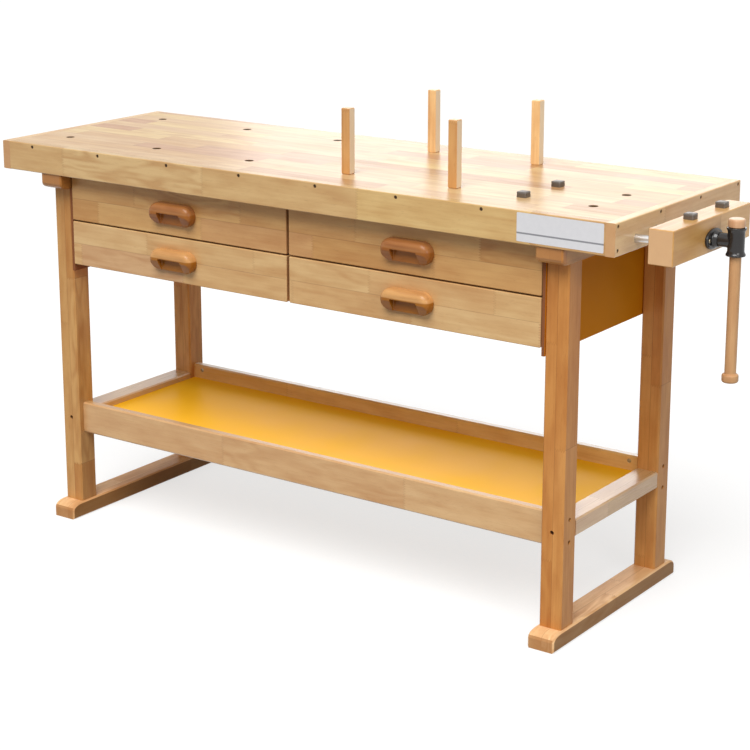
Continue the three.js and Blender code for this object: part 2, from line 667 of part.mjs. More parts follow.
// The pull starts as a long round-ended block with a rounded front edge. A sloping cut takes
// the underside away below the ridge. The finger slot is routed under the ridge, to a floor
// that stands upright, so it is deepest behind the lip and runs out towards the foot.
function drawerPull(side, frontBottom) {
  const end = PULL_HEIGHT / 2;
  const straight = PULL_LENGTH / 2 - end;
  const outline = new THREE.Shape();
  outline.absarc(straight, 0, end, -Math.PI / 2, Math.PI / 2, false);
  outline.absarc(-straight, 0, end, Math.PI / 2, 3 * Math.PI / 2, false);
  const pillow = new THREE.ExtrudeGeometry(outline, {
    depth: PULL_DEPTH,
    bevelThickness: PULL_ROUND,
    bevelSize: PULL_ROUND,
    bevelOffset: -PULL_ROUND,
    bevelSegments: ARC_FACETS,
    curveSegments: 2 * ARC_FACETS,
  }).applyMatrix4(SWEEP_Y).translate(0, PULL_ROUND, 0);
  const behind = block(around(0, 2 * PULL_LENGTH), [-PULL_DEPTH, 0], around(0, 2 * PULL_HEIGHT));
  const ridge = new THREE.Vector2(-PULL_DEPTH, PULL_RIDGE_RISE);
  const foot = new THREE.Vector2(-PULL_FOOT_DEPTH, -end);
  const slope = foot.clone().sub(ridge);
  const undercut = block(around(0, 2 * PULL_LENGTH), [-PULL_LENGTH, PULL_LENGTH], [-PULL_LENGTH, 0]);
  undercut.rotateX(Math.atan2(slope.y, slope.x)).translate(0, ridge.x, ridge.y);
  const slot = block(
    around(0, PULL_SLOT_LENGTH),
    [-2 * PULL_DEPTH, -PULL_SLOT_WALL],
    [-PULL_HEIGHT, PULL_RIDGE_RISE - PULL_LIP]);
  const shaped = cut(common(pillow, behind), undercut, slot);
  const x = side * (FRONT_X[0] + FRONT_X[1]) / 2;
  return shaped.translate(x, DRAWER_FACE_Y - JOINT_GAP, frontBottom + FRONT_HEIGHT / 2);
}

for (const [row, frontBottom] of ROWS) {
  for (const [word, side] of [['left', -1], ['right', 1]]) {
    add(`${row}_${word}_drawer_front`, drawerFront(side, frontBottom), 'tanWood');
    add(`${row}_${word}_drawer_pull`, drawerPull(side, frontBottom), 'pullWood');
    add(`${row}_${word}_drawer_box`, drawerBox(side, frontBottom), 'plainWood');
    add(`${row}_${word}_drawer_bottom`, drawerBottom(side, frontBottom), 'plainWood');
  }
}

// End vise

const JAW_X_SPAN = [JAW_INNER_X, JAW_OUTER_X];
const jawDogPlaces = [FRONT_DOG_Y, VISE_DOG_Y].map((y) => [JAW_X, y]);

// The jaw is bored for the screw, with a recess for its collar and blind holes for the rods.
// The dog sockets in its top stop above the bores.
function viseJaw() {
  const body = board(JAW_X_SPAN, around(SCREW_Y, JAW_LENGTH), [TOP_HEIGHT - JAW_HEIGHT, TOP_HEIGHT]);
  const screwBore = round('x', SCREW_BORE, grown(JAW_X_SPAN, EASE), SCREW_AXIS);
  const collarBore = COLLAR_DIAMETER + 2 * RUNNING_CLEARANCE;
  const recess = round('x', collarBore, [JAW_INNER_X - EASE, JAW_INNER_X + COLLAR_RECESS], SCREW_AXIS);
  const rodHoles = rodPlaces.map((y) => (
    round('x', ROD_DIAMETER + 2 * GROOVE_CLEARANCE, [JAW_INNER_X - EASE, JAW_INNER_X + ROD_SEAT],
      [0, y, SCREW_Z])));
  const sockets = jawDogPlaces.map((place) => (
    round('z', DOG_HOLE, [TOP_HEIGHT - JAW_SOCKET_DEPTH, TOP_HEIGHT + EASE], [...place, 0])));
  return cut(body, screwBore, recess, ...rodHoles, ...sockets);
}

function guideRod(y) {
  const span = [END_INNER_X - ROD_TAIL, JAW_INNER_X + ROD_SEAT - GROOVE_CLEARANCE];
  return round('x', ROD_DIAMETER, span, [0, y, SCREW_Z]);
}

const BOSS_END_X = JAW_OUTER_X + JOINT_GAP + FLANGE_PLATE + FLANGE_BOSS_LENGTH;
const SHANK_START_X = BOSS_END_X + GROOVE_CLEARANCE;

// An oval plate on the jaw, with a tapered boss round the screw
function viseFlange() {
  const start = JAW_OUTER_X + JOINT_GAP;
  const oval = new THREE.Shape();
  oval.absellipse(SCREW_Y, SCREW_Z, FLANGE_LENGTH / 2, FLANGE_HEIGHT / 2, 0, 2 * Math.PI, false);
  const plate = alongX(oval, [start, start + FLANGE_PLATE], EASE, ROUND_FACETS / 2);
  const boss = turned('x', [
    [0, 0], [FLANGE_BOSS / 2, 0], [FLANGE_BOSS / 2, FLANGE_PLATE],
    [FLANGE_BOSS_TOP / 2, FLANGE_PLATE + FLANGE_BOSS_LENGTH], [0, FLANGE_PLATE + FLANGE_BOSS_LENGTH],
  ], [start, SCREW_Y, SCREW_Z]);
  const bore = round('x', SCREW_BORE, grown([start, BOSS_END_X], EASE), SCREW_AXIS);
  return cut(join(plate, boss), bore);
}

function viseScrew() {
  const span = [END_INNER_X - SCREW_TAIL, SHANK_START_X + SCREW_HEAD_SEAT - GROOVE_CLEARANCE];
  return round('x', SCREW_DIAMETER, span, SCREW_AXIS);
}

function thrustCollar() {
  const start = JAW_INNER_X + COLLAR_RECESS - GROOVE_CLEARANCE - COLLAR_LENGTH;
  const span = [start, start + COLLAR_LENGTH];
  const bore = SCREW_DIAMETER + 2 * GROOVE_CLEARANCE;
  return cut(
    round('x', COLLAR_DIAMETER, span, SCREW_AXIS),
    round('x', bore, grown(span, EASE), SCREW_AXIS));
}

// The socket is a sleeve with flared lips, on a shank that takes the end of the screw
function handleSocket() {
  const lip = SOCKET_LIP / 2;
  const wall = SOCKET_DIAMETER / 2;
  const half = [
    [0, 0], [lip, 0], [lip, SOCKET_LIP_HEIGHT],
    [wall + (lip - wall) / 3, SOCKET_LIP_HEIGHT + SOCKET_FLARE / 3],
    [wall, SOCKET_LIP_HEIGHT + SOCKET_FLARE],
  ];
  const upper = half.map(([radius, height]) => [radius, SOCKET_HEIGHT - height]).reverse();
  const sleeve = turned('z', [...half, ...upper], [SOCKET_X, SCREW_Y, SCREW_Z - SOCKET_HEIGHT / 2]);
  const shank = round('x', SOCKET_SHANK, [SHANK_START_X, SOCKET_X], SCREW_AXIS);
  const handleBore = round('z', HANDLE_DIAMETER + 2 * RUNNING_CLEARANCE,
    grown(around(SCREW_Z, SOCKET_HEIGHT), EASE), HANDLE_AXIS);
  const screwSeat = round('x', SCREW_DIAMETER + 2 * GROOVE_CLEARANCE,
    [SHANK_START_X - EASE, SHANK_START_X + SCREW_HEAD_SEAT], SCREW_AXIS);
  return cut(join(sleeve, shank), handleBore, screwSeat);
}

const KNOB_BOTTOM = SOCKET_TOP + GROOVE_CLEARANCE;
const HANDLE_BOTTOM = KNOB_BOTTOM + KNOB_HEIGHT - HANDLE_LENGTH;

// The bar and its lower knob are turned from one piece
function handleBar() {
  const knob = KNOB_DIAMETER / 2;
  const bar = HANDLE_DIAMETER / 2;
  const top = KNOB_BOTTOM + KNOB_SEAT - GROOVE_CLEARANCE - HANDLE_BOTTOM;
  return turned('z', [
    [0, 0], [knob - KNOB_ROUND, 0], [knob, KNOB_ROUND], [knob, LOWER_KNOB_HEIGHT - KNOB_ROUND],
    [knob - KNOB_ROUND, LOWER_KNOB_HEIGHT], [bar, LOWER_KNOB_HEIGHT], [bar, top], [0, top],
  ], [SOCKET_X, SCREW_Y, HANDLE_BOTTOM]);
}

function handleKnob() {
  const knob = KNOB_DIAMETER / 2;
  const body = turned('z', [
    [0, 0], [knob - KNOB_ROUND / 2, 0], [knob, KNOB_ROUND / 2], [knob, KNOB_HEIGHT - KNOB_ROUND],
    [knob - KNOB_ROUND, KNOB_HEIGHT], [0, KNOB_HEIGHT],
  ], [SOCKET_X, SCREW_Y, KNOB_BOTTOM]);
  return cut(body, round('z', HANDLE_DIAMETER + 2 * GROOVE_CLEARANCE,
    [KNOB_BOTTOM - EASE, KNOB_BOTTOM + KNOB_SEAT], HANDLE_AXIS));
}

// The nut is screwed to the inner face of the end board
function viseNut() {
  const face = END_INNER_X - JOINT_GAP;
  const oval = new THREE.Shape();
  oval.absellipse(SCREW_Y, SCREW_Z, NUT_LENGTH / 2, NUT_HEIGHT / 2, 0, 2 * Math.PI, false);
  const plate = alongX(oval, [face - NUT_PLATE, face], 0, ROUND_FACETS / 2);
  const length = [face - NUT_PLATE - NUT_BARREL_LENGTH, face];
  const barrel = round('x', NUT_BARREL, length, SCREW_AXIS);
  const bore = round('x', SCREW_BORE, grown(length, EASE), SCREW_AXIS);
  return cut(join(plate, barrel), bore);
}

add('vise_jaw', viseJaw(), 'tanWood');
add('vise_front_guide_rod', guideRod(rodPlaces[0]), 'brightSteel');
add('vise_rear_guide_rod', guideRod(rodPlaces[1]), 'brightSteel');
add('vise_flange', viseFlange(), 'castIron');
add('vise_screw', viseScrew(), 'brightSteel');
add('vise_thrust_collar', thrustCollar(), 'brightSteel');
add('vise_handle_socket', handleSocket(), 'castIron');
add('vise_handle_bar', handleBar(), 'legWood');
add('vise_handle_knob', handleKnob(), 'paleWood');
add('vise_nut', viseNut(), 'brightSteel');

// Pegs and bench dogs

const TENON = DOG_HOLE - 2 * DOG_CLEARANCE;
const PEG_SIZE = DOG_HOLE + 2 * PEG_SHOULDER;
const DOG_HEAD = DOG_HOLE + 2 * DOG_SHOULDER;

// A peg is a square bar with a round tenon turned on its foot, and its corners stand on the top
function peg(x, y) {
  const bar = board(
    around(x, PEG_SIZE), around(y, PEG_SIZE), [TOP_HEIGHT + JOINT_GAP, TOP_HEIGHT + PEG_RISE]);
  return join(bar, round('z', TENON, [SLAB_BOTTOM - PEG_FOOT, TOP_HEIGHT + PEG_SIZE], [x, y, 0]));
}

// A dog is a round steel stud with a square head that has rounded corners and a groove round it
function benchDog(x, y) {
  const outline = rectangle(around(x, DOG_HEAD), around(y, DOG_HEAD), DOG_CORNER);
  const head = alongZ(outline, [TOP_HEIGHT + JOINT_GAP, TOP_HEIGHT + DOG_RISE], EASE);
  const shank = round('z', TENON, [TOP_HEIGHT - DOG_SHANK, TOP_HEIGHT + DOG_RISE / 2], [x, y, 0]);
  const grooveLow = TOP_HEIGHT + DOG_GROOVE_RISE;
  const grooveZ = [grooveLow, grooveLow + DOG_GROOVE_HEIGHT];
  const grooveSize = DOG_HEAD - 2 * DOG_GROOVE_DEPTH;
  const outside = rectangle(around(x, 2 * DOG_HEAD), around(y, 2 * DOG_HEAD));
  outside.holes.push(rectangle(around(x, grooveSize), around(y, grooveSize), DOG_CORNER));
  return cut(join(head, shank), alongZ(outside, grooveZ));
}

const PEG_NAMES = ['left', 'right'];
PEG_COLUMNS.forEach((x, i) => {
  add(`front_${PEG_NAMES[i]}_peg`, peg(x, FRONT_DOG_Y), 'paleWood');
  add(`rear_${PEG_NAMES[i]}_peg`, peg(x, REAR_DOG_Y), 'paleWood');
});
add('front_bench_dog', benchDog(VISE_DOG_COLUMNS[0], FRONT_DOG_Y), 'dogSteel');
add('rear_bench_dog', benchDog(VISE_DOG_COLUMNS[0], VISE_DOG_Y), 'dogSteel');
add('front_jaw_dog', benchDog(...jawDogPlaces[0]), 'dogSteel');
add('rear_jaw_dog', benchDog(...jawDogPlaces[1]), 'dogSteel');

export default bench;
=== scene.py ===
import math

import bmesh
import bpy
from mathutils import Matrix, Vector


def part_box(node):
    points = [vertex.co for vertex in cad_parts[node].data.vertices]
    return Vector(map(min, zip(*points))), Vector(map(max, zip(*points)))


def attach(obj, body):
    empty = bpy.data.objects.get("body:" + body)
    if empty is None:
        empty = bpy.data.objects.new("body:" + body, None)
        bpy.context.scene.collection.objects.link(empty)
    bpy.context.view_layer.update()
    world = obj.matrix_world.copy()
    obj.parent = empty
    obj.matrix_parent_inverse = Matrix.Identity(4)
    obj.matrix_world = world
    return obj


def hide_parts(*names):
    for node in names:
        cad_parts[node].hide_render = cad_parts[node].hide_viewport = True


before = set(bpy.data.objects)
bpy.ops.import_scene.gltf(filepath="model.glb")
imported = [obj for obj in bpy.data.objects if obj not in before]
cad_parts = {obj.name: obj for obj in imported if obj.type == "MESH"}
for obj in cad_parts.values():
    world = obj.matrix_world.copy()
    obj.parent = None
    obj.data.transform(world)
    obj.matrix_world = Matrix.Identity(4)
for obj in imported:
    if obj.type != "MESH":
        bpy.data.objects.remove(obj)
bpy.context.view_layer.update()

# Bench top
# Rubberwood staves, glued edge to edge and finger-jointed end to end, in a frame of four boards. Sanded
# flat and sealed with clear satin lacquer. Two bare battens under the slab take the trestle bolts.

MM = 0.001


def linear(code):
    """An sRGB hex colour as linear red, green, blue and alpha."""
    shares = [int(code[i:i + 2], 16) / 255 for i in (1, 3, 5)]
    return [s / 12.92 if s <= 0.04045 else ((s + 0.055) / 1.055) ** 2.4 for s in shares] + [1.0]


def node(tree, kind, inputs=None, **settings):
    """Adds a node. An input is a value, an output socket, or a node whose first live output is meant."""
    added = tree.nodes.new(kind)
    for name, value in settings.items():
        setattr(added, name, value)
    for name, value in (inputs or {}).items():
        if isinstance(value, bpy.types.Node):
            value = next(socket for socket in value.outputs if socket.enabled)
        if isinstance(value, bpy.types.NodeSocket):
            tree.links.new(value, added.inputs[name])
        else:
            added.inputs[name].default_value = value
    return added


def blank_material(name):
    """A new material with an empty node tree."""
    made = bpy.data.materials.new(name)
    made.use_nodes = True
    made.node_tree.nodes.clear()
    return made, made.node_tree


def dress(material, *names):
    """Gives CAD nodes a material."""
    for name in names:
        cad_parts[name].material_slots[0].material = material


FINGER_PITCH = 5 * MM
FINGER_REACH = 6 * MM
BOARD_LAYER = 0.5
STAVE_SHIFT = (9, 9, 9)
SWELL_GRAIN = (230 * MM, 46 * MM)
CLOUD_GRAIN = (100 * MM, 24 * MM)
STREAK_GRAIN = (190 * MM, 5 * MM)
# real pores are about 0.2 mm wide, and are drawn coarser so that they show
PORE_GRAIN = (14 * MM, 1 * MM)
RING_COUNT = 6.0
RING_FROM = 0.62
RING_DEPTH = 0.15
STREAK_SHARE = 0.3
FIGURE_SPAN = (0.36, 0.72)
FIGURE_DEPTH = 0.5
PORE_SPAN = (0.6, 0.75)
PORE_DEPTH = 0.22
PORE_BROWN = "#9A6A3C"
# a real glue line is about 0.1 mm wide, and is drawn wider so that it shows
GLUE_LINE = (0.2 * MM, 0.9 * MM)
GLUE_DEPTH = 0.35
GLUE_BROWN = "#8A5A30"
SQUARE_ON = (0.75, 0.9)
END_SHARE = 0.75
HOLE_WALL = (0.8, 0.4)
UNDER_SHADE_BLUR = 1.2 * MM
NOISE_SPAN = (0.3, 0.7)
GRAIN_GLOSS = (-0.05, 0.06)
GRAIN_RELIEF = 0.4 * MM


def rubberwood(name, along, across, stave, tones, shade, seam=0.0, rough=0.36, coat=0.1, shine=0.35,
               end_grain="#BE8A5C", painted_side_tone=None, bore_shade=None, under_shade=None):
    """Lacquered rubberwood: staves run along one axis and lie side by side across another.
    The eye sees blocks of slightly different tan, soft brown clouds and streaks, and duller end grain.
    Sides may take a painted tone that stands in for light and shade, the walls of drilled holes a painted
    shade, and faces below a height a darker painted shade."""
    made, tree = blank_material(name)
    deep = "XYZ".replace(along, "").replace(across, "")
    length, width = stave
    here = node(tree, "ShaderNodeTexCoord")
    place = node(tree, "ShaderNodeSeparateXYZ", {0: here.outputs["Object"]}).outputs
    facing = node(tree, "ShaderNodeSeparateXYZ", {0: here.outputs["Normal"]}).outputs

    # the stave that a point lies in, with finger joints at its ends
    rows = node(tree, "ShaderNodeMath", {0: place[across], 1: 1 / width, 2: -seam / width},
                operation="MULTIPLY_ADD")
    row = node(tree, "ShaderNodeMath", {0: rows}, operation="FLOOR")
    layer = node(tree, "ShaderNodeMath", {0: place[deep], 1: BOARD_LAYER}, operation="SNAP")
    start = node(tree, "ShaderNodeTexWhiteNoise",
                 {0: node(tree, "ShaderNodeCombineXYZ", {0: row, 1: layer})}, noise_dimensions="2D")
    finger = node(tree, "ShaderNodeMath", {0: place[across], 1: FINGER_PITCH / 2}, operation="PINGPONG")
    zigzag = node(tree, "ShaderNodeMath",
                  {0: finger, 1: 2 * FINGER_REACH / FINGER_PITCH, 2: place[along]},
                  operation="MULTIPLY_ADD")
    runs = node(tree, "ShaderNodeMath", {0: zigzag, 1: 1 / length, 2: start.outputs["Value"]},
                operation="MULTIPLY_ADD")
    run = node(tree, "ShaderNodeMath", {0: runs}, operation="FLOOR")
    drawn = node(tree, "ShaderNodeTexWhiteNoise",
                 {0: node(tree, "ShaderNodeCombineXYZ", {0: row, 1: run, 2: layer})},
                 noise_dimensions="3D")

    # its own tone, and grain that starts afresh in every stave
    tone = node(tree, "ShaderNodeValToRGB", {0: drawn.outputs["Value"]})
    stops = tone.color_ramp.elements
    tone.color_ramp.interpolation = "CONSTANT"
    for i, code in enumerate(tones):
        stop = stops[i] if i < 2 else stops.new(1.0)
        stop.position = i / len(tones)
        stop.color = linear(code)
    whim = node(tree, "ShaderNodeSeparateColor", {0: drawn.outputs["Color"]}).outputs
    moved = node(tree, "ShaderNodeVectorMath",
                 {0: drawn.outputs["Color"], 1: STAVE_SHIFT, 2: here.outputs["Object"]},
                 operation="MULTIPLY_ADD")
    swell, cloud, streak, pore = (
        node(tree, "ShaderNodeTexNoise", {
            "Vector": node(tree, "ShaderNodeVectorMath",
                           {0: moved, 1: [1 / (size[0] if axis == along else size[1]) for axis in "XYZ"]},
                           operation="MULTIPLY"),
            "Scale": 1.0, "Detail": 2.0})
        for size in (SWELL_GRAIN, CLOUD_GRAIN, STREAK_GRAIN, PORE_GRAIN))
    waves = node(tree, "ShaderNodeMath", {0: swell, 1: RING_COUNT * math.tau}, operation="MULTIPLY")
    ring = node(tree, "ShaderNodeMath", {0: waves}, operation="SINE")
    arched = node(tree, "ShaderNodeMapRange",
                  {"Value": whim["Green"], "From Min": RING_FROM, "To Max": RING_DEPTH})
    flecked = node(tree, "ShaderNodeMix", {0: STREAK_SHARE, 2: cloud, 3: streak}, data_type="FLOAT")
    grain = node(tree, "ShaderNodeMath", {0: ring, 1: arched, 2: flecked}, operation="MULTIPLY_ADD")
    darker = node(tree, "ShaderNodeMapRange", {"Value": grain, "From Min": FIGURE_SPAN[0],
                                               "From Max": FIGURE_SPAN[1], "To Max": FIGURE_DEPTH})
    figured = node(tree, "ShaderNodeMix", {0: darker, 6: tone, 7: linear(shade)},
                   data_type="RGBA", blend_type="MULTIPLY")
    open_pores = node(tree, "ShaderNodeMapRange", {"Value": pore, "From Min": PORE_SPAN[0],
                                                   "From Max": PORE_SPAN[1], "To Max": PORE_DEPTH})
    pored = node(tree, "ShaderNodeMix", {0: open_pores, 6: figured, 7: linear(PORE_BROWN)},
                 data_type="RGBA", blend_type="MULTIPLY")

    # glue lines round the stave, and end grain where a face is sawn across it
    side_gap, end_gap = (
        node(tree, "ShaderNodeMath",
             {0: node(tree, "ShaderNodeMath", {0: count, 1: 0.5}, operation="PINGPONG"), 1: size},
             operation="MULTIPLY")
        for count, size in ((rows, width), (runs, length)))
    gap = node(tree, "ShaderNodeMath", {0: side_gap, 1: end_gap}, operation="MINIMUM")
    line = node(tree, "ShaderNodeMapRange", {
        "Value": gap, "From Min": GLUE_LINE[0], "From Max": GLUE_LINE[1],
        "To Min": GLUE_DEPTH, "To Max": 0.0})
    glued = node(tree, "ShaderNodeMix", {0: line, 6: pored, 7: linear(GLUE_BROWN)},
                 data_type="RGBA", blend_type="MULTIPLY")
    finished = glued
    # duller end grain, and on the sides a painted tone that stands in for light and shade
    for axis, tint in ((along, end_grain), (across, painted_side_tone)):
        if tint:
            square = node(tree, "ShaderNodeMath", {0: facing[axis]}, operation="ABSOLUTE")
            share = node(tree, "ShaderNodeMapRange", {"Value": square, "From Min": SQUARE_ON[0],
                                                      "From Max": SQUARE_ON[1], "To Max": END_SHARE})
            finished = node(tree, "ShaderNodeMix", {0: share, 6: finished, 7: linear(tint)},
                            data_type="RGBA")
    # painted shade on the walls of drilled holes
    if bore_shade:
        upright = node(tree, "ShaderNodeMath", {0: facing[deep]}, operation="ABSOLUTE")
        wall = node(tree, "ShaderNodeMapRange",
                    {"Value": upright, "From Min": HOLE_WALL[0], "From Max": HOLE_WALL[1]})
        finished = node(tree, "ShaderNodeMix", {0: wall, 6: finished, 7: linear(bore_shade)}, data_type="RGBA")
    # painted shade: faces below a height are darkened
    if under_shade:
        height, tint = under_shade
        low_part = node(tree, "ShaderNodeMapRange", {
            "Value": place["Z"], "From Min": height + UNDER_SHADE_BLUR, "From Max": height - UNDER_SHADE_BLUR})
        finished = node(tree, "ShaderNodeMix", {0: low_part, 6: finished, 7: linear(tint)},
                        data_type="RGBA", blend_type="MULTIPLY")

    sheen = node(tree, "ShaderNodeMapRange", {
        "Value": streak, "From Min": NOISE_SPAN[0], "From Max": NOISE_SPAN[1],
        "To Min": rough + GRAIN_GLOSS[0], "To Max": rough + GRAIN_GLOSS[1]})
    relief = node(tree, "ShaderNodeMath", {0: streak, 1: pore}, operation="SUBTRACT")
    bump = node(tree, "ShaderNodeBump", {"Strength": 0.1, "Distance": GRAIN_RELIEF, "Height": relief})
    shader = node(tree, "ShaderNodeBsdfPrincipled", {
        "Base Color": finished, "Roughness": sheen, "Normal": bump,
        "Specular IOR Level": shine, "Coat Weight": coat, "Coat Roughness": 0.3})
    node(tree, "ShaderNodeOutputMaterial", {"Surface": shader})
    return made


SLAB_TONES = ("#D8B07A", "#E2C18E", "#C69A68", "#DDB988", "#CC9E74", "#E3C388")
TAN_TONES = ("#D4AF78", "#DBB884", "#CBA26C", "#D7B47E", "#D0A676", "#DBB97C")
END_BOARD_LIT_TONES = ("#EAC690", "#EFCD98", "#E4BC86")
WARM_SHADE = "#CCA272"

# the lacquer shows as a soft sheen on the slab and boards, and the battens stay dull
# the walls of the slab's drilled holes are darkened as painted shade
slab_wood = rubberwood("rubberwood_top", "X", "Y", (340 * MM, 47 * MM), SLAB_TONES, WARM_SHADE,
                       coat=0.2, bore_shade="#6E5238")
long_board_wood = rubberwood("rubberwood_long_boards", "X", "Z", (390 * MM, 310 * MM), TAN_TONES,
                             WARM_SHADE, coat=0.2)
# the end boards' paler staves are painted light from the vise end
end_board_wood = rubberwood("rubberwood_end_boards", "Y", "Z", (330 * MM, 310 * MM), END_BOARD_LIT_TONES,
                            WARM_SHADE, coat=0.2)
bare_wood = rubberwood("rubberwood_bare", "Y", "X", (450 * MM, 60 * MM), TAN_TONES, WARM_SHADE,
                       rough=0.6, coat=0.0)

dress(slab_wood, "top_slab")
dress(long_board_wood, "front_edge_board", "rear_edge_board")
dress(end_board_wood, "left_end_board", "right_end_board")
dress(bare_wood, "left_cross_batten", "right_cross_batten")

# Screws in the edge boards
# Countersunk wood screws hold the boards to the slab and to each other. Black phosphated steel, sunk
# a little below the surface of each counterbored hole, with a square drive recess.


def only(piece):
    """Leaves one object selected and active."""
    bpy.ops.object.select_all(action="DESELECT")
    piece.select_set(True)
    bpy.context.view_layer.objects.active = piece


def added(name):
    """Names the primitive that was just added and puts its place into its mesh."""
    piece = bpy.context.object
    piece.name = name
    bpy.ops.object.transform_apply(location=True, rotation=True, scale=True)
    return piece


def block(name, low, high):
    """A box between two corners, as a start for a piece or a cutter."""
    bpy.ops.object.select_all(action="DESELECT")
    low, high = Vector(low), Vector(high)
    bpy.ops.mesh.primitive_cube_add(size=1, location=(low + high) / 2, scale=high - low)
    return added(name)


def turned(name, axis, foot, profile, sides=48):
    """A closed round form along an axis, from (radius, height) steps above its foot."""
    bpy.ops.object.select_all(action="DESELECT")
    way = Vector([float(axis == letter) for letter in "XYZ"])
    foot = Vector(foot)
    radius, height = profile[0]
    bpy.ops.mesh.primitive_circle_add(vertices=sides, radius=radius, fill_type="NGON",
                                      location=foot + way * height,
                                      rotation=way.to_track_quat("Z", "Y").to_euler())
    piece = added(name)
    bpy.ops.object.mode_set(mode="EDIT")
    bpy.ops.mesh.select_all(action="SELECT")
    for next_radius, next_height in profile[1:]:
        bpy.ops.mesh.extrude_region_move(TRANSFORM_OT_translate={"value": way * (next_height - height)})
        growth = next_radius / radius
        bpy.ops.transform.resize(value=[1 if along else growth for along in way],
                                 center_override=foot + way * next_height)
        radius, height = next_radius, next_height
    bpy.ops.mesh.select_all(action="SELECT")
    bpy.ops.mesh.normals_make_consistent(inside=False)
    bpy.ops.object.mode_set(mode="OBJECT")
    return piece


def carve(piece, tool, operation="DIFFERENCE"):
    """Cuts a closed form with another, or joins them. The other is used up."""
    only(piece)
    change = piece.modifiers.new("carve", "BOOLEAN")
    change.operation = operation
    change.solver = "MANIFOLD"
    change.object = tool
    bpy.ops.object.modifier_apply(modifier=change.name)
    bpy.data.objects.remove(tool)


def smooth(piece, angle=30):
    """Shades a piece smooth, but for its edges that are sharper than an angle."""
    only(piece)
    bpy.ops.object.shade_smooth_by_angle(angle=math.radians(angle))


def soften(piece, width, segments=2, angle=35):
    """Rounds a piece's sharp edges and shades what is left smooth."""
    only(piece)
    edge = piece.modifiers.new("soften", "BEVEL")
    edge.width = width
    edge.segments = segments
    edge.limit_method = "ANGLE"
    edge.angle_limit = math.radians(angle)
    edge.use_clamp_overlap = False
    bpy.ops.object.modifier_apply(modifier=edge.name)
    smooth(piece, angle)


def finish_piece(piece, material, body, slot, *replaced):
    """Gives a piece its material and its place in the assembly."""
    piece.data.materials.clear()
    piece.data.materials.append(material)
    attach(piece, body)
    if replaced:
        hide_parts(*replaced)


def moved_copy(pattern, name, move):
    """A copy of a piece with its own mesh, moved by a matrix."""
    copy = pattern.copy()
    copy.data = pattern.data.copy()
    copy.name = name
    copy.data.transform(move)
    bpy.context.collection.objects.link(copy)
    return copy


def set_in(pattern, name, place, outwards):
    """A copy of a small piece that was made facing up at the origin, turned outwards at its place."""
    turn = Vector(outwards).to_track_quat("Z", "Y").to_matrix().to_4x4()
    return moved_copy(pattern, name, Matrix.Translation(place) @ turn)


def corners(name):
    """The lowest and highest corners of a CAD node."""
    return [Vector(corner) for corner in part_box(name)]


METAL_DULL = "#8E8C8A"
METAL_DULL_SHARE = 0.35
METAL_RELIEF = 0.1 * MM


def worked_metal(name, code, grain, rough, spread):
    """Bare or treated metal: an even colour with fine drawn or ground lines that vary its gloss.
    The real lines are under 0.1 mm wide, and are drawn coarser so that they show."""
    made, tree = blank_material(name)
    here = node(tree, "ShaderNodeTexCoord")
    stretched = node(tree, "ShaderNodeVectorMath",
                     {0: here.outputs["Object"], 1: [1 / size for size in grain]}, operation="MULTIPLY")
    lines = node(tree, "ShaderNodeTexNoise", {"Vector": stretched, "Scale": 1.0, "Detail": 2.0})
    tint, gloss = (
        node(tree, "ShaderNodeMapRange", {"Value": lines, "From Min": NOISE_SPAN[0],
                                          "From Max": NOISE_SPAN[1], "To Min": least, "To Max": most})
        for least, most in ((0.0, METAL_DULL_SHARE), (rough - spread, rough + spread)))
    colour = node(tree, "ShaderNodeMix", {0: tint, 6: linear(code), 7: linear(METAL_DULL)},
                  data_type="RGBA", blend_type="MULTIPLY")
    bump = node(tree, "ShaderNodeBump", {"Strength": 0.08, "Distance": METAL_RELIEF, "Height": lines})
    shader = node(tree, "ShaderNodeBsdfPrincipled",
                  {"Base Color": colour, "Roughness": gloss, "Normal": bump, "Metallic": 1.0})
    node(tree, "ShaderNodeOutputMaterial", {"Surface": shader})
    return made


EDGE_HEAD = 3.5 * MM
EDGE_RIM = 0.5 * MM
EDGE_CORE = 1.9 * MM
EDGE_CONE = 2.4 * MM
EDGE_DEPTH = 3 * MM
EDGE_SUNK = 0.9 * MM
EDGE_ROUND = 0.15 * MM
DRIVE = 2.6 * MM
DRIVE_DEPTH = 1.2 * MM
EDGE_SCREW_DROP = 7 * MM
EDGE_SCREW_INSET = 89 * MM
EDGE_SCREW_COUNT = 8
END_SCREW_COUNT = 4
END_SCREW_RISE = 11 * MM

# phosphate gives the steel a dull brown-black, with little shine
black_steel = worked_metal("phosphated_steel", "#5A4838", (0.4 * MM, 0.4 * MM, 0.4 * MM), 0.5, 0.08)

screw_head = turned("screw_head", "Z", (0, 0, 0), [
    (EDGE_CORE, -EDGE_DEPTH), (EDGE_CORE, -EDGE_CONE), (EDGE_HEAD, -EDGE_RIM), (EDGE_HEAD, 0)], sides=24)
carve(screw_head, block("drive", (-DRIVE / 2, -DRIVE / 2, -DRIVE_DEPTH), (DRIVE / 2, DRIVE / 2, DRIVE)))
soften(screw_head, EDGE_ROUND)

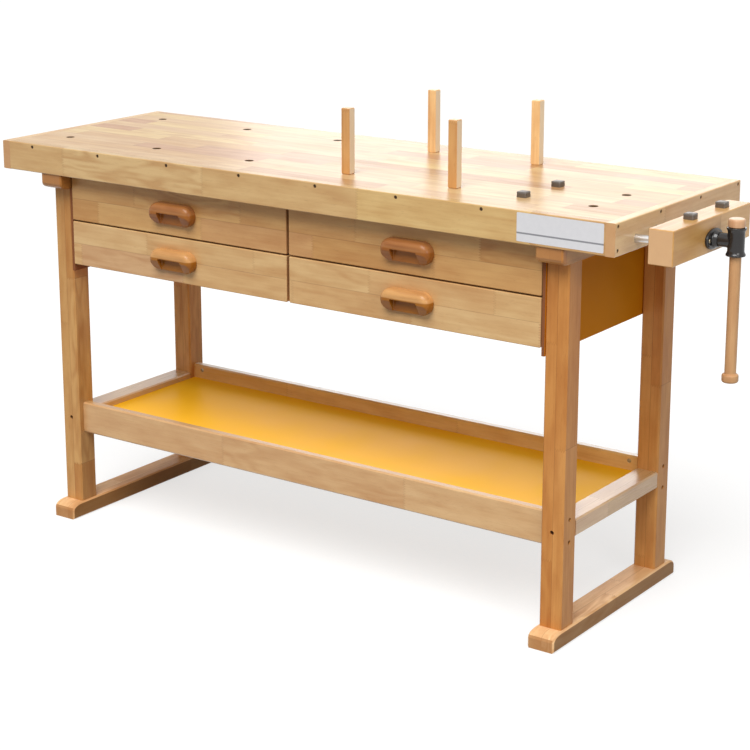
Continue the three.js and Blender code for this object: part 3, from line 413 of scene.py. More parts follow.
top_low, left_board_high = corners("left_end_board")
top_high = corners("right_end_board")[1]
edge_thickness = left_board_high.x - top_low.x
screw_line = top_high.z - EDGE_SCREW_DROP
long_step = (top_high.x - top_low.x - 2 * EDGE_SCREW_INSET) / (EDGE_SCREW_COUNT - 1)
end_ys = [top_low.y + edge_thickness / 2, top_high.y - edge_thickness / 2]
end_step = (end_ys[1] - end_ys[0]) / (END_SCREW_COUNT - 1)
edge_places = []
for face, outwards in ((top_low.y, -1), (top_high.y, 1)):
    for i in range(EDGE_SCREW_COUNT):
        x = top_low.x + EDGE_SCREW_INSET + i * long_step
        edge_places.append(((x, face, screw_line), (0, outwards, 0)))
for face, outwards in ((top_low.x, -1), (top_high.x, 1)):
    for i in range(END_SCREW_COUNT):
        edge_places.append(((face, end_ys[0] + i * end_step, screw_line), (outwards, 0, 0)))
    for y in end_ys:
        edge_places.append(((face, y, top_low.z + END_SCREW_RISE), (outwards, 0, 0)))
for i, (place, outwards) in enumerate(edge_places, 1):
    sunk = Vector(place) - Vector(outwards) * EDGE_SUNK
    screw = set_in(screw_head, f"edge_screw_{i}", sunk, outwards)
    finish_piece(screw, black_steel, "bench", "dog_steel")
bpy.data.objects.remove(screw_head)

# Trestles
# Two legs tenoned into a foot and a head rail, with a stretcher bolted between them at shelf height. The
# same wood as the top in warmer staves, each leg with its own, and pale feet whose sides are darkened as
# painted shade.

LEG_TONES = {"left_front": ("#CC985C", "#D0A064", "#C68F52"),
             "left_rear": ("#D69E60", "#DAA668", "#CE9456"),
             "right_front": ("#CE8E4C", "#D29452", "#C88746"),
             "right_rear": ("#D0904E", "#D49856", "#C68644")}
LEG_SHADE = "#C0905E"
HEAD_TONES = ("#C68A48", "#CB9350", "#BA7F3E")
FOOT_TONES = ("#EDBE88", "#F0C490", "#E6B47E")
FOOT_SIDE_SHADE = "#84561F"
SILL_STAVE = (520 * MM, 31 * MM)
SILL_SEAM = 507 * MM
SILL_END = "#AC7646"
LEG_STAVE = (430 * MM, 26 * MM)
LEG_SEAM = 512 * MM
STRETCHER_TONES = ("#D2AC7A", "#D8B486", "#C9A26E")

# a thin coat leaves legs, feet and head rails nearly matt, and a full one makes the stretchers glossy
head_wood = rubberwood("rubberwood_head_rails", "Y", "X", SILL_STAVE, HEAD_TONES, LEG_SHADE,
                       seam=SILL_SEAM, shine=0.25, end_grain=SILL_END)
# the feet's sides take a darker tone as painted shade
foot_wood = rubberwood("rubberwood_feet", "Y", "X", SILL_STAVE, FOOT_TONES, LEG_SHADE,
                       seam=SILL_SEAM, coat=0.0, shine=0.1, end_grain=SILL_END, painted_side_tone=FOOT_SIDE_SHADE)
stretcher_wood = rubberwood("rubberwood_stretchers", "Y", "Z", (520 * MM, 310 * MM), STRETCHER_TONES,
                            WARM_SHADE, rough=0.3, coat=0.8)

for corner, tones in LEG_TONES.items():
    leg_wood = rubberwood(f"rubberwood_{corner}_leg", "Z", "X", LEG_STAVE, tones, LEG_SHADE,
                          seam=LEG_SEAM, coat=0.0, shine=0.2)
    dress(leg_wood, f"{corner}_leg")
for side in ("left", "right"):
    dress(head_wood, f"{side}_head_rail")
    dress(foot_wood, f"{side}_foot")
    dress(stretcher_wood, f"{side}_stretcher")

# Bolts and barrel nuts
# Socket-head bolts sit in counterbored holes in the legs. They draw the shelf rails and stretchers up
# tight by slotted barrel nuts that lie across the rails. Bronzed bolts, zinc-plated nuts.

BOLT_HEAD = 4.2 * MM
BOLT_HEIGHT = 4.5 * MM
BOLT_ROUND = 0.35 * MM
BOLT_SUNK = 3 * MM
BOLT_SPREAD = 45.6 * MM
KEY = 2.3 * MM
KEY_DEPTH = 2.6 * MM
NUT_HEAD = 4.8 * MM
NUT_LENGTH = 11 * MM
NUT_ROUND = 0.3 * MM
NUT_SUNK = 0.8 * MM
NUT_INSET = 25 * MM
NUT_SLOT = 1.2 * MM
NUT_SLOT_DEPTH = 1 * MM

# bronzing is a dull warm brown, and zinc a yellowish grey with a soft shine
bronzed_steel = worked_metal("bronzed_steel", "#5A3B28", (0.5 * MM, 0.5 * MM, 0.5 * MM), 0.45, 0.08)
zinc_plate = worked_metal("zinc_plate", "#B9A98C", (0.3 * MM, 4 * MM, 0.3 * MM), 0.35, 0.08)

bolt_head = turned("bolt_head", "Z", (0, 0, 0), [(BOLT_HEAD, -BOLT_HEIGHT), (BOLT_HEAD, 0)], sides=32)
carve(bolt_head, turned("key", "Z", (0, 0, 0), [(KEY, -KEY_DEPTH), (KEY, 2 * MM)], sides=6))
soften(bolt_head, BOLT_ROUND)
barrel_nut = turned("barrel_nut", "Z", (0, 0, 0), [(NUT_HEAD, -NUT_LENGTH), (NUT_HEAD, 0)], sides=32)
carve(barrel_nut, block("slot", (-2 * NUT_HEAD, -NUT_SLOT / 2, -NUT_SLOT_DEPTH),
                        (2 * NUT_HEAD, NUT_SLOT / 2, 2 * MM)))
soften(barrel_nut, NUT_ROUND)

rail_low, rail_high = corners("shelf_front_rail")
rail_middle = (rail_low.z + rail_high.z) / 2
bolt_heights = (rail_middle - BOLT_SPREAD / 2, rail_middle + BOLT_SPREAD / 2)
stretcher_low, stretcher_high = corners("left_stretcher")
stretcher_middle = (stretcher_low.z + stretcher_high.z) / 2
bolt_places = []
nut_places = []
for side, outwards in (("left", -1), ("right", 1)):
    for end, forwards in (("front", -1), ("rear", 1)):
        leg_low, leg_high = corners(f"{side}_{end}_leg")
        middle = (leg_low + leg_high) / 2
        outer_x = leg_high.x if outwards > 0 else leg_low.x
        outer_y = leg_high.y if forwards > 0 else leg_low.y
        for z in bolt_heights:
            bolt_places.append(((outer_x - outwards * BOLT_SUNK, middle.y, z), (outwards, 0, 0)))
        sunk_y = outer_y - forwards * BOLT_SUNK
        bolt_places.append(((middle.x, sunk_y, stretcher_middle), (0, forwards, 0)))
        rail_low, rail_high = corners(f"shelf_{end}_rail")
        inner_y = rail_low.y if forwards > 0 else rail_high.y
        nut_x = rail_high.x - NUT_INSET if outwards > 0 else rail_low.x + NUT_INSET
        for z in bolt_heights:
            nut_places.append(((nut_x, inner_y + forwards * NUT_SUNK, z), (0, -forwards, 0)))
for i, (place, outwards) in enumerate(bolt_places, 1):
    bolt = set_in(bolt_head, f"leg_bolt_{i}", place, outwards)
    finish_piece(bolt, bronzed_steel, "bench", "dog_steel")
for i, (place, outwards) in enumerate(nut_places, 1):
    nut = set_in(barrel_nut, f"barrel_nut_{i}", place, outwards)
    finish_piece(nut, zinc_plate, "bench", "bright_steel")
bpy.data.objects.remove(bolt_head)
bpy.data.objects.remove(barrel_nut)

# Shelf
# Two rails of one stave's height run between the trestles. A thin board lies in their grooves,
# rolled with satin yellow paint that reads as mustard in shade and pales where it mirrors the light.

FIBRE_BROWN = "#7C4A2E"
FIBRE_PALE = "#946040"
PAINT_CLOUD = 140 * MM
PAINT_PEEL = 1.5 * MM
PAINT_THIN = (0.4, 0.75)
PAINT_THIN_SHARE = 0.6
PAINT_GLOSS = 0.06
PAINT_RELIEF = 0.15 * MM
FACES = 0.7


def rolled_paint(name, code, worn, rough, sheen, edge, bare=0.0):
    """Roller-painted fibreboard: an even coat with a faint orange-peel relief and cloudy, thinner
    places. Its edges that face along one axis are left brown, as they were sawn, and one side may be
    bare."""
    made, tree = blank_material(name)
    here = node(tree, "ShaderNodeTexCoord")
    cloud = node(tree, "ShaderNodeTexNoise",
                 {"Vector": here.outputs["Object"], "Scale": 1 / PAINT_CLOUD, "Detail": 3.0})
    peel = node(tree, "ShaderNodeTexNoise", {"Vector": here.outputs["Object"], "Scale": 1 / PAINT_PEEL})
    thin = node(tree, "ShaderNodeMapRange", {"Value": cloud, "From Min": PAINT_THIN[0],
                                             "From Max": PAINT_THIN[1], "To Max": PAINT_THIN_SHARE})
    coat = node(tree, "ShaderNodeMix", {0: thin, 6: linear(code), 7: linear(worn)}, data_type="RGBA")
    facing = node(tree, "ShaderNodeSeparateXYZ", {0: here.outputs["Normal"]}).outputs
    sawn = node(tree, "ShaderNodeMath",
                {0: node(tree, "ShaderNodeMath", {0: facing[edge]}, operation="ABSOLUTE"), 1: FACES},
                operation="GREATER_THAN")
    inwards = node(tree, "ShaderNodeMath", {0: facing["X"], 1: bare}, operation="MULTIPLY")
    inside = node(tree, "ShaderNodeMath", {0: inwards, 1: FACES}, operation="GREATER_THAN")
    unpainted = node(tree, "ShaderNodeMath", {0: sawn, 1: inside}, operation="MAXIMUM")
    fibre = node(tree, "ShaderNodeMix", {0: peel, 6: linear(FIBRE_BROWN), 7: linear(FIBRE_PALE)},
                 data_type="RGBA")
    colour = node(tree, "ShaderNodeMix", {0: unpainted, 6: coat, 7: fibre}, data_type="RGBA")
    gloss = node(tree, "ShaderNodeMapRange", {
        "Value": cloud, "From Min": NOISE_SPAN[0], "From Max": NOISE_SPAN[1],
        "To Min": rough - PAINT_GLOSS, "To Max": rough + PAINT_GLOSS})
    bump = node(tree, "ShaderNodeBump", {"Strength": 0.12, "Distance": PAINT_RELIEF, "Height": peel})
    shader = node(tree, "ShaderNodeBsdfPrincipled", {
        "Base Color": colour, "Roughness": gloss, "Normal": bump, "Specular IOR Level": sheen})
    node(tree, "ShaderNodeOutputMaterial", {"Surface": shader})
    return made


# the rear rail's paler, warmer staves are painted light, the glow of the yellow shelf
RAIL_TONES = {"front": ("#D9B280", "#DEBA88", "#D0A674", "#DBB582", "#D4AA78"),
              "rear": ("#EABE78", "#EEC480", "#E4B66C")}
# the rear rail's pale top is a painted reflection; the front rail's top and underside take a darker tone
RAIL_TOPS = {"front": "#BA8E56", "rear": "#FFF6E6"}
RAIL_COAT = {"front": 0.25, "rear": 0.8}

shelf_paint = rolled_paint("yellow_satin_paint", "#F8B81A", "#FAC026", 0.4, 0.06, "X")
dress(shelf_paint, "shelf_panel")

# the front rail is satin, and the rear one glossy with a pale top as painted reflection
for end, tones in RAIL_TONES.items():
    rail_wood = rubberwood(f"rubberwood_{end}_shelf_rail", "X", "Z", (470 * MM, 310 * MM), tones,
                           WARM_SHADE, rough=0.3, coat=RAIL_COAT[end], painted_side_tone=RAIL_TOPS[end])
    dress(rail_wood, f"shelf_{end}_rail")

# Drawer case
# Thin painted panels inside each trestle, bare towards the drawers, and one across the back, with a
# wooden divider between the columns. The paint is a deeper ochre than the shelf's.

OCHRE = "#D28212"
OCHRE_WORN = "#C4760E"
CASE_PANELS = (("left", "case_left_side", "Y", 1.0),
               ("right", "case_right_side", "Y", -1.0),
               ("back", "case_back", "X", 0.0))

# satin paint: a flat deep ochre in the shade of the top, with faint clouds
for word, panel, edge, bare in CASE_PANELS:
    dress(rolled_paint(f"ochre_satin_paint_{word}", OCHRE, OCHRE_WORN, 0.55, 0.05, edge, bare), panel)
divider_wood = rubberwood("rubberwood_divider", "Y", "Z", (450 * MM, 60 * MM), TAN_TONES, WARM_SHADE,
                          rough=0.55, coat=0.0)
dress(divider_wood, "case_divider")

# Drawers
# Fronts of two staves' height, lacquered like the top, on plain boxes with thin plywood bottoms.
# The boxes run on wooden strips and are left bare inside.

# the upper row's darker staves are painted shade from the top's overhang
DRAWER_LIT_AND_SHADED_TONES = {"upper": ("#CFA064", "#D4A86C", "#C7965A", "#D0A266", "#CC9C66", "#D2A66A"),
                "lower": ("#D5AC76", "#DAB580", "#CDA26C", "#D6AE78", "#D2A87A", "#D8B27C")}
PLY_TONES = ("#E2C79C", "#DDBF92", "#E6CDA6")
lower_low, lower_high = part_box("lower_left_drawer_front")
front_seam = (lower_low[2] + lower_high[2]) / 2
stave_height = (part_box("upper_left_drawer_front")[0][2] - lower_low[2]) / 2

# bare wood and plywood: pale, even and dull
box_wood = rubberwood("rubberwood_drawer_boxes", "Y", "Z", (500 * MM, 90 * MM), PLY_TONES, WARM_SHADE,
                      rough=0.55, coat=0.0)
ply_wood = rubberwood("birch_plywood", "X", "Y", (900 * MM, 700 * MM), PLY_TONES, WARM_SHADE,
                      rough=0.55, coat=0.0)

drawers = {"upper": [], "lower": []}
for row, tones in DRAWER_LIT_AND_SHADED_TONES.items():
    front_wood = rubberwood(f"rubberwood_{row}_drawer_fronts", "X", "Z", (290 * MM, stave_height), tones,
                            WARM_SHADE, seam=front_seam)
    for drawer in (f"{row}_left_drawer", f"{row}_right_drawer"):
        drawers[row].append(drawer)
        dress(front_wood, f"{drawer}_front")
        dress(box_wood, f"{drawer}_box")
        dress(ply_wood, f"{drawer}_bottom")

# Drawer pulls
# Each is one block of hardwood with round ends and a rounded front, sawn away below the ridge, with a
# finger slot routed behind the lip. Stained orange-brown under gloss lacquer, with painted shade below
# the ridge and darker tones as painted shade on the upper row.


def pick(kind, test):
    """In edit mode, selects just the edges or faces that pass a test."""
    bpy.ops.mesh.select_mode(type={"edges": "EDGE", "faces": "FACE"}[kind])
    bpy.ops.mesh.select_all(action="DESELECT")
    form = bmesh.from_edit_mesh(bpy.context.object.data)
    for item in getattr(form, kind):
        if test(item):
            item.select_set(True)
    bmesh.update_edit_mesh(bpy.context.object.data)


def level(edge, axis, value):
    """True if an edge lies in the plane where one coordinate has a value."""
    return all(abs(corner.co[axis] - value) < 0.01 * MM for corner in edge.verts)


def sand(piece, grain, passes):
    """Rounds a piece all over, as sanding or casting does, by rebuilding its surface in small steps."""
    only(piece)
    skin = piece.modifiers.new("skin", "REMESH")
    skin.mode = "VOXEL"
    skin.voxel_size = grain
    bpy.ops.object.modifier_apply(modifier=skin.name)
    rub = piece.modifiers.new("rub", "SMOOTH")
    rub.factor = 0.5
    rub.iterations = passes
    bpy.ops.object.modifier_apply(modifier=rub.name)
    bpy.ops.object.shade_smooth()


PULL_END = 0.498
PULL_ROUND = 13 * MM
PULL_RIDGE_RISE = 5 * MM
PULL_FOOT_DEPTH = 8 * MM
PULL_SLOT_LENGTH = 62 * MM
PULL_SLOT_WALL = 9 * MM
PULL_LIP = 1.5 * MM
PULL_GRIT = 0.8 * MM
PULL_LIT_AND_SHADED_TONES = {"upper": ("#A66C3A", "#9E6432", "#AC7240"), "lower": ("#CE9658", "#C88E50", "#D49E62")}
PULL_UNDER_SHADE = {"upper": "#F0DEA0", "lower": "#C8AA58"}
PULL_SHADE = "#A4683A"

first, far = corners("upper_left_drawer_pull")
centre = (first + far) / 2
pull_pattern = block("pull_pattern", first, far)
bpy.ops.object.mode_set(mode="EDIT")
pick("edges", lambda edge: abs(edge.verts[0].co.y - edge.verts[1].co.y) > PULL_ROUND)
bpy.ops.mesh.bevel(offset=PULL_END * (far.z - first.z), segments=16, affect="EDGES")
pick("edges", lambda edge: level(edge, 1, first.y))
bpy.ops.mesh.bevel(offset=PULL_ROUND, segments=10, affect="EDGES")
bpy.ops.mesh.select_all(action="SELECT")
ridge = Vector((centre.x, first.y, centre.z + PULL_RIDGE_RISE))
foot = Vector((centre.x, far.y - PULL_FOOT_DEPTH, first.z))
bpy.ops.mesh.bisect(plane_co=ridge, plane_no=(foot - ridge).cross(Vector((1, 0, 0))), clear_outer=True)
pick("edges", lambda edge: edge.is_boundary)
bpy.ops.mesh.edge_face_add()
bpy.ops.mesh.select_all(action="SELECT")
bpy.ops.mesh.remove_doubles(threshold=0.02 * MM)
bpy.ops.object.mode_set(mode="OBJECT")
carve(pull_pattern, block(
    "finger_slot",
    (centre.x - PULL_SLOT_LENGTH / 2, first.y - PULL_ROUND, first.z - PULL_ROUND),
    (centre.x + PULL_SLOT_LENGTH / 2, far.y - PULL_SLOT_WALL, ridge.z - PULL_LIP)))
sand(pull_pattern, PULL_GRIT, 4)

# gloss lacquer over stain: a deep even brown with small clear highlights
# the upper row's darker tones and the darkening below the ridge are painted shade
for row, tones in PULL_LIT_AND_SHADED_TONES.items():
    row_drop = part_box(f"{row}_left_drawer_pull")[0][2] - first.z
    pull_wood = rubberwood(f"stained_gloss_hardwood_{row}", "X", "Z", (800 * MM, 900 * MM), tones,
                           PULL_SHADE, rough=0.22, coat=0.3, shine=0.1, end_grain=tones[0],
                           under_shade=(ridge.z + row_drop, PULL_UNDER_SHADE[row]))
    for drawer in drawers[row]:
        step = Matrix.Translation(corners(f"{drawer}_pull")[0] - first)
        pull = moved_copy(pull_pattern, f"{drawer}_gloss_pull", step)
        finish_piece(pull, pull_wood, drawer, "pull_wood", f"{drawer}_pull")
bpy.data.objects.remove(pull_pattern)

# Film plate
# A strip of white adhesive film at the vise end of the front board. It is plain but for a thin printed
# grey rule, and its corners are cut round.

FILM_LENGTH = 181 * MM
FILM_HEIGHT = 54 * MM
FILM_THICKNESS = 0.25 * MM
FILM_SUNK = 0.05 * MM
FILM_CORNER = 2 * MM
FILM_END_GAP = 23 * MM
FILM_RISE = 5 * MM
FILM_RIPPLE = 9 * MM
FILM_RELIEF = 0.1 * MM
RULE_RISE = 16 * MM
RULE_WIDTH = 1.6 * MM

film_low = Vector((top_high.x - FILM_END_GAP - FILM_LENGTH, top_low.y - FILM_THICKNESS,
                   top_low.z + FILM_RISE))
film_high = film_low + Vector((FILM_LENGTH, FILM_THICKNESS - FILM_SUNK, FILM_HEIGHT))

# vinyl film: a cool, smooth white with a soft shine and faint ripples from rubbing it on
film, tree = blank_material("white_vinyl_film")
here = node(tree, "ShaderNodeTexCoord")
place = node(tree, "ShaderNodeSeparateXYZ", {0: here.outputs["Object"]}).outputs
dust = node(tree, "ShaderNodeTexNoise",
            {"Vector": here.outputs["Object"], "Scale": 1 / FILM_RIPPLE, "Detail": 2.0})
paper = node(tree, "ShaderNodeMix", {0: dust, 6: linear("#DEDDDF"), 7: linear("#D6D5D8")},
             data_type="RGBA")
rule = node(tree, "ShaderNodeMath", {0: place["Z"], 1: film_low.z + RULE_RISE, 2: RULE_WIDTH},
            operation="COMPARE")
printed = node(tree, "ShaderNodeMix", {0: rule, 6: paper, 7: linear("#8A8A8E")}, data_type="RGBA")
ripple = node(tree, "ShaderNodeBump", {"Strength": 0.1, "Distance": FILM_RELIEF, "Height": dust})
shader = node(tree, "ShaderNodeBsdfPrincipled",
              {"Base Color": printed, "Roughness": 0.3, "Normal": ripple})
node(tree, "ShaderNodeOutputMaterial", {"Surface": shader})

plate = block("blank_film_plate", film_low, film_high)
bpy.ops.object.mode_set(mode="EDIT")
pick("edges", lambda edge: abs(edge.verts[0].co.y - edge.verts[1].co.y) > FILM_THICKNESS / 2)
bpy.ops.mesh.bevel(offset=FILM_CORNER, segments=5, affect="EDGES")
bpy.ops.object.mode_set(mode="OBJECT")
finish_piece(plate, film, "bench", "pale_wood")

# Vise jaw
# One heavy block of the same wood, planed and thinly lacquered, with two round dog sockets in its top.
# The guide rods and the screw's flange are fixed in and on it.

JAW_TONES = ("#D9A864", "#D5A45E", "#DDAE6C")
ONE_PIECE = (900 * MM, 900 * MM)

# planed wood: one warm, even tan with a little more shine than the legs
jaw_wood = rubberwood("rubberwood_jaw", "Y", "X", ONE_PIECE, JAW_TONES, WARM_SHADE,
                      coat=0.35, end_grain="#D8AE84")
dress(jaw_wood, "vise_jaw")

# Guide rods and screw
# Two plain ground rods seat in the jaw and slide through the end board and batten. Between them runs
# the screw, with a single-start trapezoidal thread, in a nut behind the end board. Bright steel.

ROD_CHAMFER = 1 * MM
THREAD_PITCH = 5 * MM
THREAD_DEPTH = 2.2 * MM
THREAD_STEPS = 24

# ground steel mirrors its surroundings softly, with grinding lines along X
bright_steel = worked_metal("ground_steel", "#E2E3E4", (6 * MM, 0.6 * MM, 0.6 * MM), 0.34, 0.06)

low, high = corners("vise_front_guide_rod")
radius = (high.z - low.z) / 2
reach = high.x - low.x
front_rod = turned("front_guide_rod_ground", "X", (low.x, (low.y + high.y) / 2, (low.z + high.z) / 2), [
    (radius - ROD_CHAMFER, 0), (radius, ROD_CHAMFER),
    (radius, reach - ROD_CHAMFER), (radius - ROD_CHAMFER, reach)])
smooth(front_rod)
rear_rod = moved_copy(front_rod, "rear_guide_rod_ground",
                      Matrix.Translation(corners("vise_rear_guide_rod")[0] - low))
for end, rod in (("front", front_rod), ("rear", rear_rod)):
    finish_piece(rod, bright_steel, "jaw", "bright_steel", f"vise_{end}_guide_rod")

low, high = corners("vise_screw")
axis_y, axis_z = (low.y + high.y) / 2, (low.z + high.z) / 2
crest = (high.z - low.z) / 2
root = crest - THREAD_DEPTH
bpy.ops.object.select_all(action="DESELECT")
bpy.ops.mesh.primitive_plane_add(size=MM, location=(0, axis_y, axis_z))
thread = bpy.context.object
thread.name = "vise_screw_threaded"
bpy.ops.object.mode_set(mode="EDIT")
bpy.ops.mesh.select_mode(type="VERT")
bpy.ops.mesh.select_all(action="SELECT")
bpy.ops.mesh.merge(type="CENTER")
bpy.ops.transform.translate(value=(low.x - THREAD_PITCH, 0, root))
for share, rise in ((0.2, 0), (0.15, THREAD_DEPTH), (0.5, 0), (0.15, -THREAD_DEPTH)):
    bpy.ops.mesh.extrude_region_move(TRANSFORM_OT_translate={"value": (share * THREAD_PITCH, 0, rise)})
bpy.ops.object.mode_set(mode="OBJECT")
helix = thread.modifiers.new("helix", "SCREW")
helix.axis = "X"
helix.angle = math.tau
helix.screw_offset = THREAD_PITCH
helix.iterations = math.ceil((high.x - low.x) / THREAD_PITCH) + 2
helix.steps = THREAD_STEPS
helix.render_steps = THREAD_STEPS
bpy.ops.object.modifier_apply(modifier=helix.name)
bpy.ops.object.transform_apply(location=True, rotation=True, scale=True)
bpy.ops.object.mode_set(mode="EDIT")
bpy.ops.mesh.select_all(action="SELECT")
bpy.ops.mesh.remove_doubles(threshold=0.01 * MM)
for end_x, outwards in ((low.x, -1), (high.x, 1)):
    bpy.ops.mesh.select_all(action="SELECT")
    bpy.ops.mesh.bisect(plane_co=(end_x, axis_y, axis_z), plane_no=(outwards, 0, 0), clear_outer=True,
                        threshold=0.001 * MM)
    pick("edges", lambda edge: edge.is_boundary and level(edge, 0, end_x))
    bpy.ops.mesh.edge_face_add()
bpy.ops.mesh.select_all(action="SELECT")
bpy.ops.mesh.normals_make_consistent(inside=False)
bpy.ops.object.mode_set(mode="OBJECT")
smooth(thread)
finish_piece(thread, bright_steel, "screw", "bright_steel", "vise_screw")
dress(bright_steel, "vise_thrust_collar", "vise_nut")

# Vise flange and handle socket
# Grey iron castings in black semi-gloss paint. The oval flange is screwed to the jaw and carries the
# screw in its tapered boss. The socket is a flared sleeve on a shank, pinned on the end of the screw.

# the casting's sand is about 0.3 mm, and is drawn coarser so that it shows
IRON_SAND = 1.2 * MM
IRON_PATCH = 18 * MM
IRON_GLOSS = (0.14, 0.24)
IRON_RELIEF = 0.2 * MM

# painted iron: near black, with broken highlights over the grain of the casting
iron, tree = blank_material("black_painted_cast_iron")
here = node(tree, "ShaderNodeTexCoord")
mould = node(tree, "ShaderNodeTexNoise",
             {"Vector": here.outputs["Object"], "Scale": 1 / IRON_SAND, "Detail": 3.0})
patch = node(tree, "ShaderNodeTexNoise",
             {"Vector": here.outputs["Object"], "Scale": 1 / IRON_PATCH, "Detail": 2.0})
coat = node(tree, "ShaderNodeMix", {0: patch, 6: linear("#1E1B1B"), 7: linear("#2A2726")},
            data_type="RGBA")
gloss = node(tree, "ShaderNodeMapRange", {
    "Value": patch, "From Min": NOISE_SPAN[0], "From Max": NOISE_SPAN[1],
    "To Min": IRON_GLOSS[0], "To Max": IRON_GLOSS[1]})
skin = node(tree, "ShaderNodeBump", {"Strength": 0.15, "Distance": IRON_RELIEF, "Height": mould})
shader = node(tree, "ShaderNodeBsdfPrincipled", {"Base Color": coat, "Roughness": gloss, "Normal": skin})
node(tree, "ShaderNodeOutputMaterial", {"Surface": shader})

FLANGE_PLATE = 6 * MM
FLANGE_BEVEL = 2 * MM
FLANGE_GRIT = 0.45 * MM
BOSS_FOOT = 17 * MM
BOSS_FILLET = 1.6 * MM
BOSS_FILLET_RISE = 2.5 * MM
BOSS_TOP = 14 * MM
RUNNING_GAP = 0.5 * MM
FLANGE_SCREW_OUT = 25 * MM
PAN_HEAD = 3.6 * MM
PAN_RISE = 1.8 * MM
PAN_SLOT = 1 * MM
PAN_ROUND = 0.2 * MM
PAN_SUNK = 0.3 * MM

low, high = corners("vise_flange")
flange_foot = Vector((low.x, axis_y, axis_z))
boss_reach = high.x - low.x
half_height = (high.z - low.z) / 2
flange = turned("vise_flange_cast", "X", flange_foot, [
    (half_height, 0), (half_height, FLANGE_PLATE - FLANGE_BEVEL),
    (half_height - FLANGE_BEVEL, FLANGE_PLATE)], sides=96)
bpy.ops.object.mode_set(mode="EDIT")
bpy.ops.mesh.select_all(action="SELECT")
bpy.ops.transform.resize(value=(1, (high.y - low.y) / (high.z - low.z), 1), center_override=flange_foot)
bpy.ops.object.mode_set(mode="OBJECT")
carve(flange, turned("boss", "X", flange_foot, [
    (BOSS_FOOT, MM), (BOSS_FOOT, FLANGE_PLATE),
    (BOSS_FOOT - BOSS_FILLET, FLANGE_PLATE + BOSS_FILLET_RISE), (BOSS_TOP, boss_reach)],
    sides=64), "UNION")
carve(flange, turned("bore", "X", flange_foot, [
    (crest + RUNNING_GAP, -FLANGE_PLATE), (crest + RUNNING_GAP, 2 * boss_reach)], sides=64))
sand(flange, FLANGE_GRIT, 4)
finish_piece(flange, iron, "jaw", "cast_iron", "vise_flange")

pan_head = turned("pan_head", "Z", (0, 0, 0), [
    (PAN_HEAD, 0), (PAN_HEAD, 0.5 * PAN_RISE),
    (0.8 * PAN_HEAD, 0.9 * PAN_RISE), (0.5 * PAN_HEAD, PAN_RISE)], sides=24)
carve(pan_head, block("slot", (-2 * PAN_HEAD, -PAN_SLOT / 2, PAN_RISE - PAN_SLOT),
                      (2 * PAN_HEAD, PAN_SLOT / 2, 2 * PAN_RISE)))
soften(pan_head, PAN_ROUND)
for word, out in (("front", -FLANGE_SCREW_OUT), ("rear", FLANGE_SCREW_OUT)):
    place = flange_foot + Vector((FLANGE_PLATE - PAN_SUNK, out, 0))
    screw = set_in(pan_head, f"flange_{word}_screw", place, (1, 0, 0))
    finish_piece(screw, zinc_plate, "jaw", "bright_steel")
bpy.data.objects.remove(pan_head)

SOCKET_LIP = 18 * MM
SOCKET_WALL = 15.5 * MM
SOCKET_GRIT = 0.55 * MM
LIP_BAND = 3 * MM
FLARE = 7 * MM
FLARE_STEPS = 5
SHANK = 13 * MM
SEAT_DEPTH = 12 * MM
SEAT_GAP = 0.3 * MM
HANDLE_BAR = 10.75 * MM

low, high = corners("vise_handle_socket")
bar_low, bar_high = corners("vise_handle_bar")
handle_x = (bar_low.x + bar_high.x) / 2
sleeve_height = high.z - low.z
sleeve_foot = (handle_x, axis_y, low.z)
shank_foot = (low.x, axis_y, axis_z)
lower_half = [(SOCKET_LIP, 0), (SOCKET_LIP, LIP_BAND)]
for i in range(1, FLARE_STEPS + 1):
    share = i / FLARE_STEPS
    flared = SOCKET_WALL + (SOCKET_LIP - SOCKET_WALL) * (1 - share) ** 2
    lower_half.append((flared, LIP_BAND + FLARE * share))
upper_half = [(radius, sleeve_height - rise) for radius, rise in reversed(lower_half)]
socket = turned("vise_handle_socket_cast", "Z", sleeve_foot, lower_half + upper_half, sides=64)
carve(socket, turned("shank", "X", shank_foot, [
    (SHANK, 0), (SHANK, handle_x - low.x)], sides=64), "UNION")
carve(socket, turned("bore", "Z", sleeve_foot, [
    (HANDLE_BAR + RUNNING_GAP, -FLARE), (HANDLE_BAR + RUNNING_GAP, sleeve_height + FLARE)], sides=64))
carve(socket, turned("seat", "X", shank_foot, [
    (crest + SEAT_GAP, -FLARE), (crest + SEAT_GAP, SEAT_DEPTH)], sides=64))
sand(socket, SOCKET_GRIT, 4)
finish_piece(socket, iron, "screw", "cast_iron", "vise_handle_socket")

# Vise handle
# A bar with its lower knob turned from one piece of wood, and a second knob glued on above the socket
# once the bar is through it. Thin lacquer, with the grain running along the bar.

HANDLE_TONES = ("#CA9C6C", "#C39464", "#D0A476")
KNOB_TONES = ("#D9AE86", "#D2A47C", "#E0B892")
KNOB_ROUND = 4 * MM
LOWER_KNOB = 16 * MM
KNOB_BORE = 10 * MM
BAR_COVE = 1 * MM
ROUND_STEPS = 5

# turned beech: smooth and low in shine, with a paler knob
handle_wood = rubberwood("turned_beech_handle", "Z", "X", ONE_PIECE, HANDLE_TONES, "#B98558", rough=0.42)
knob_wood = rubberwood("turned_beech_knob", "Z", "X", ONE_PIECE, KNOB_TONES, "#C4926A", rough=0.42,
                       end_grain="#F2D6B8")


def rounded_band(radius, foot, top, lower_round, upper_round):
    """The (radius, height) steps of a turned band with rounded edges."""
    angles = [math.pi / 2 * i / ROUND_STEPS for i in range(ROUND_STEPS + 1)]
    lower = [(radius - lower_round * (1 - math.sin(angle)), foot + lower_round * (1 - math.cos(angle)))
             for angle in angles]
    upper = [(radius - upper_round * (1 - math.cos(angle)), top - upper_round * (1 - math.sin(angle)))
             for angle in angles]
    return lower + upper


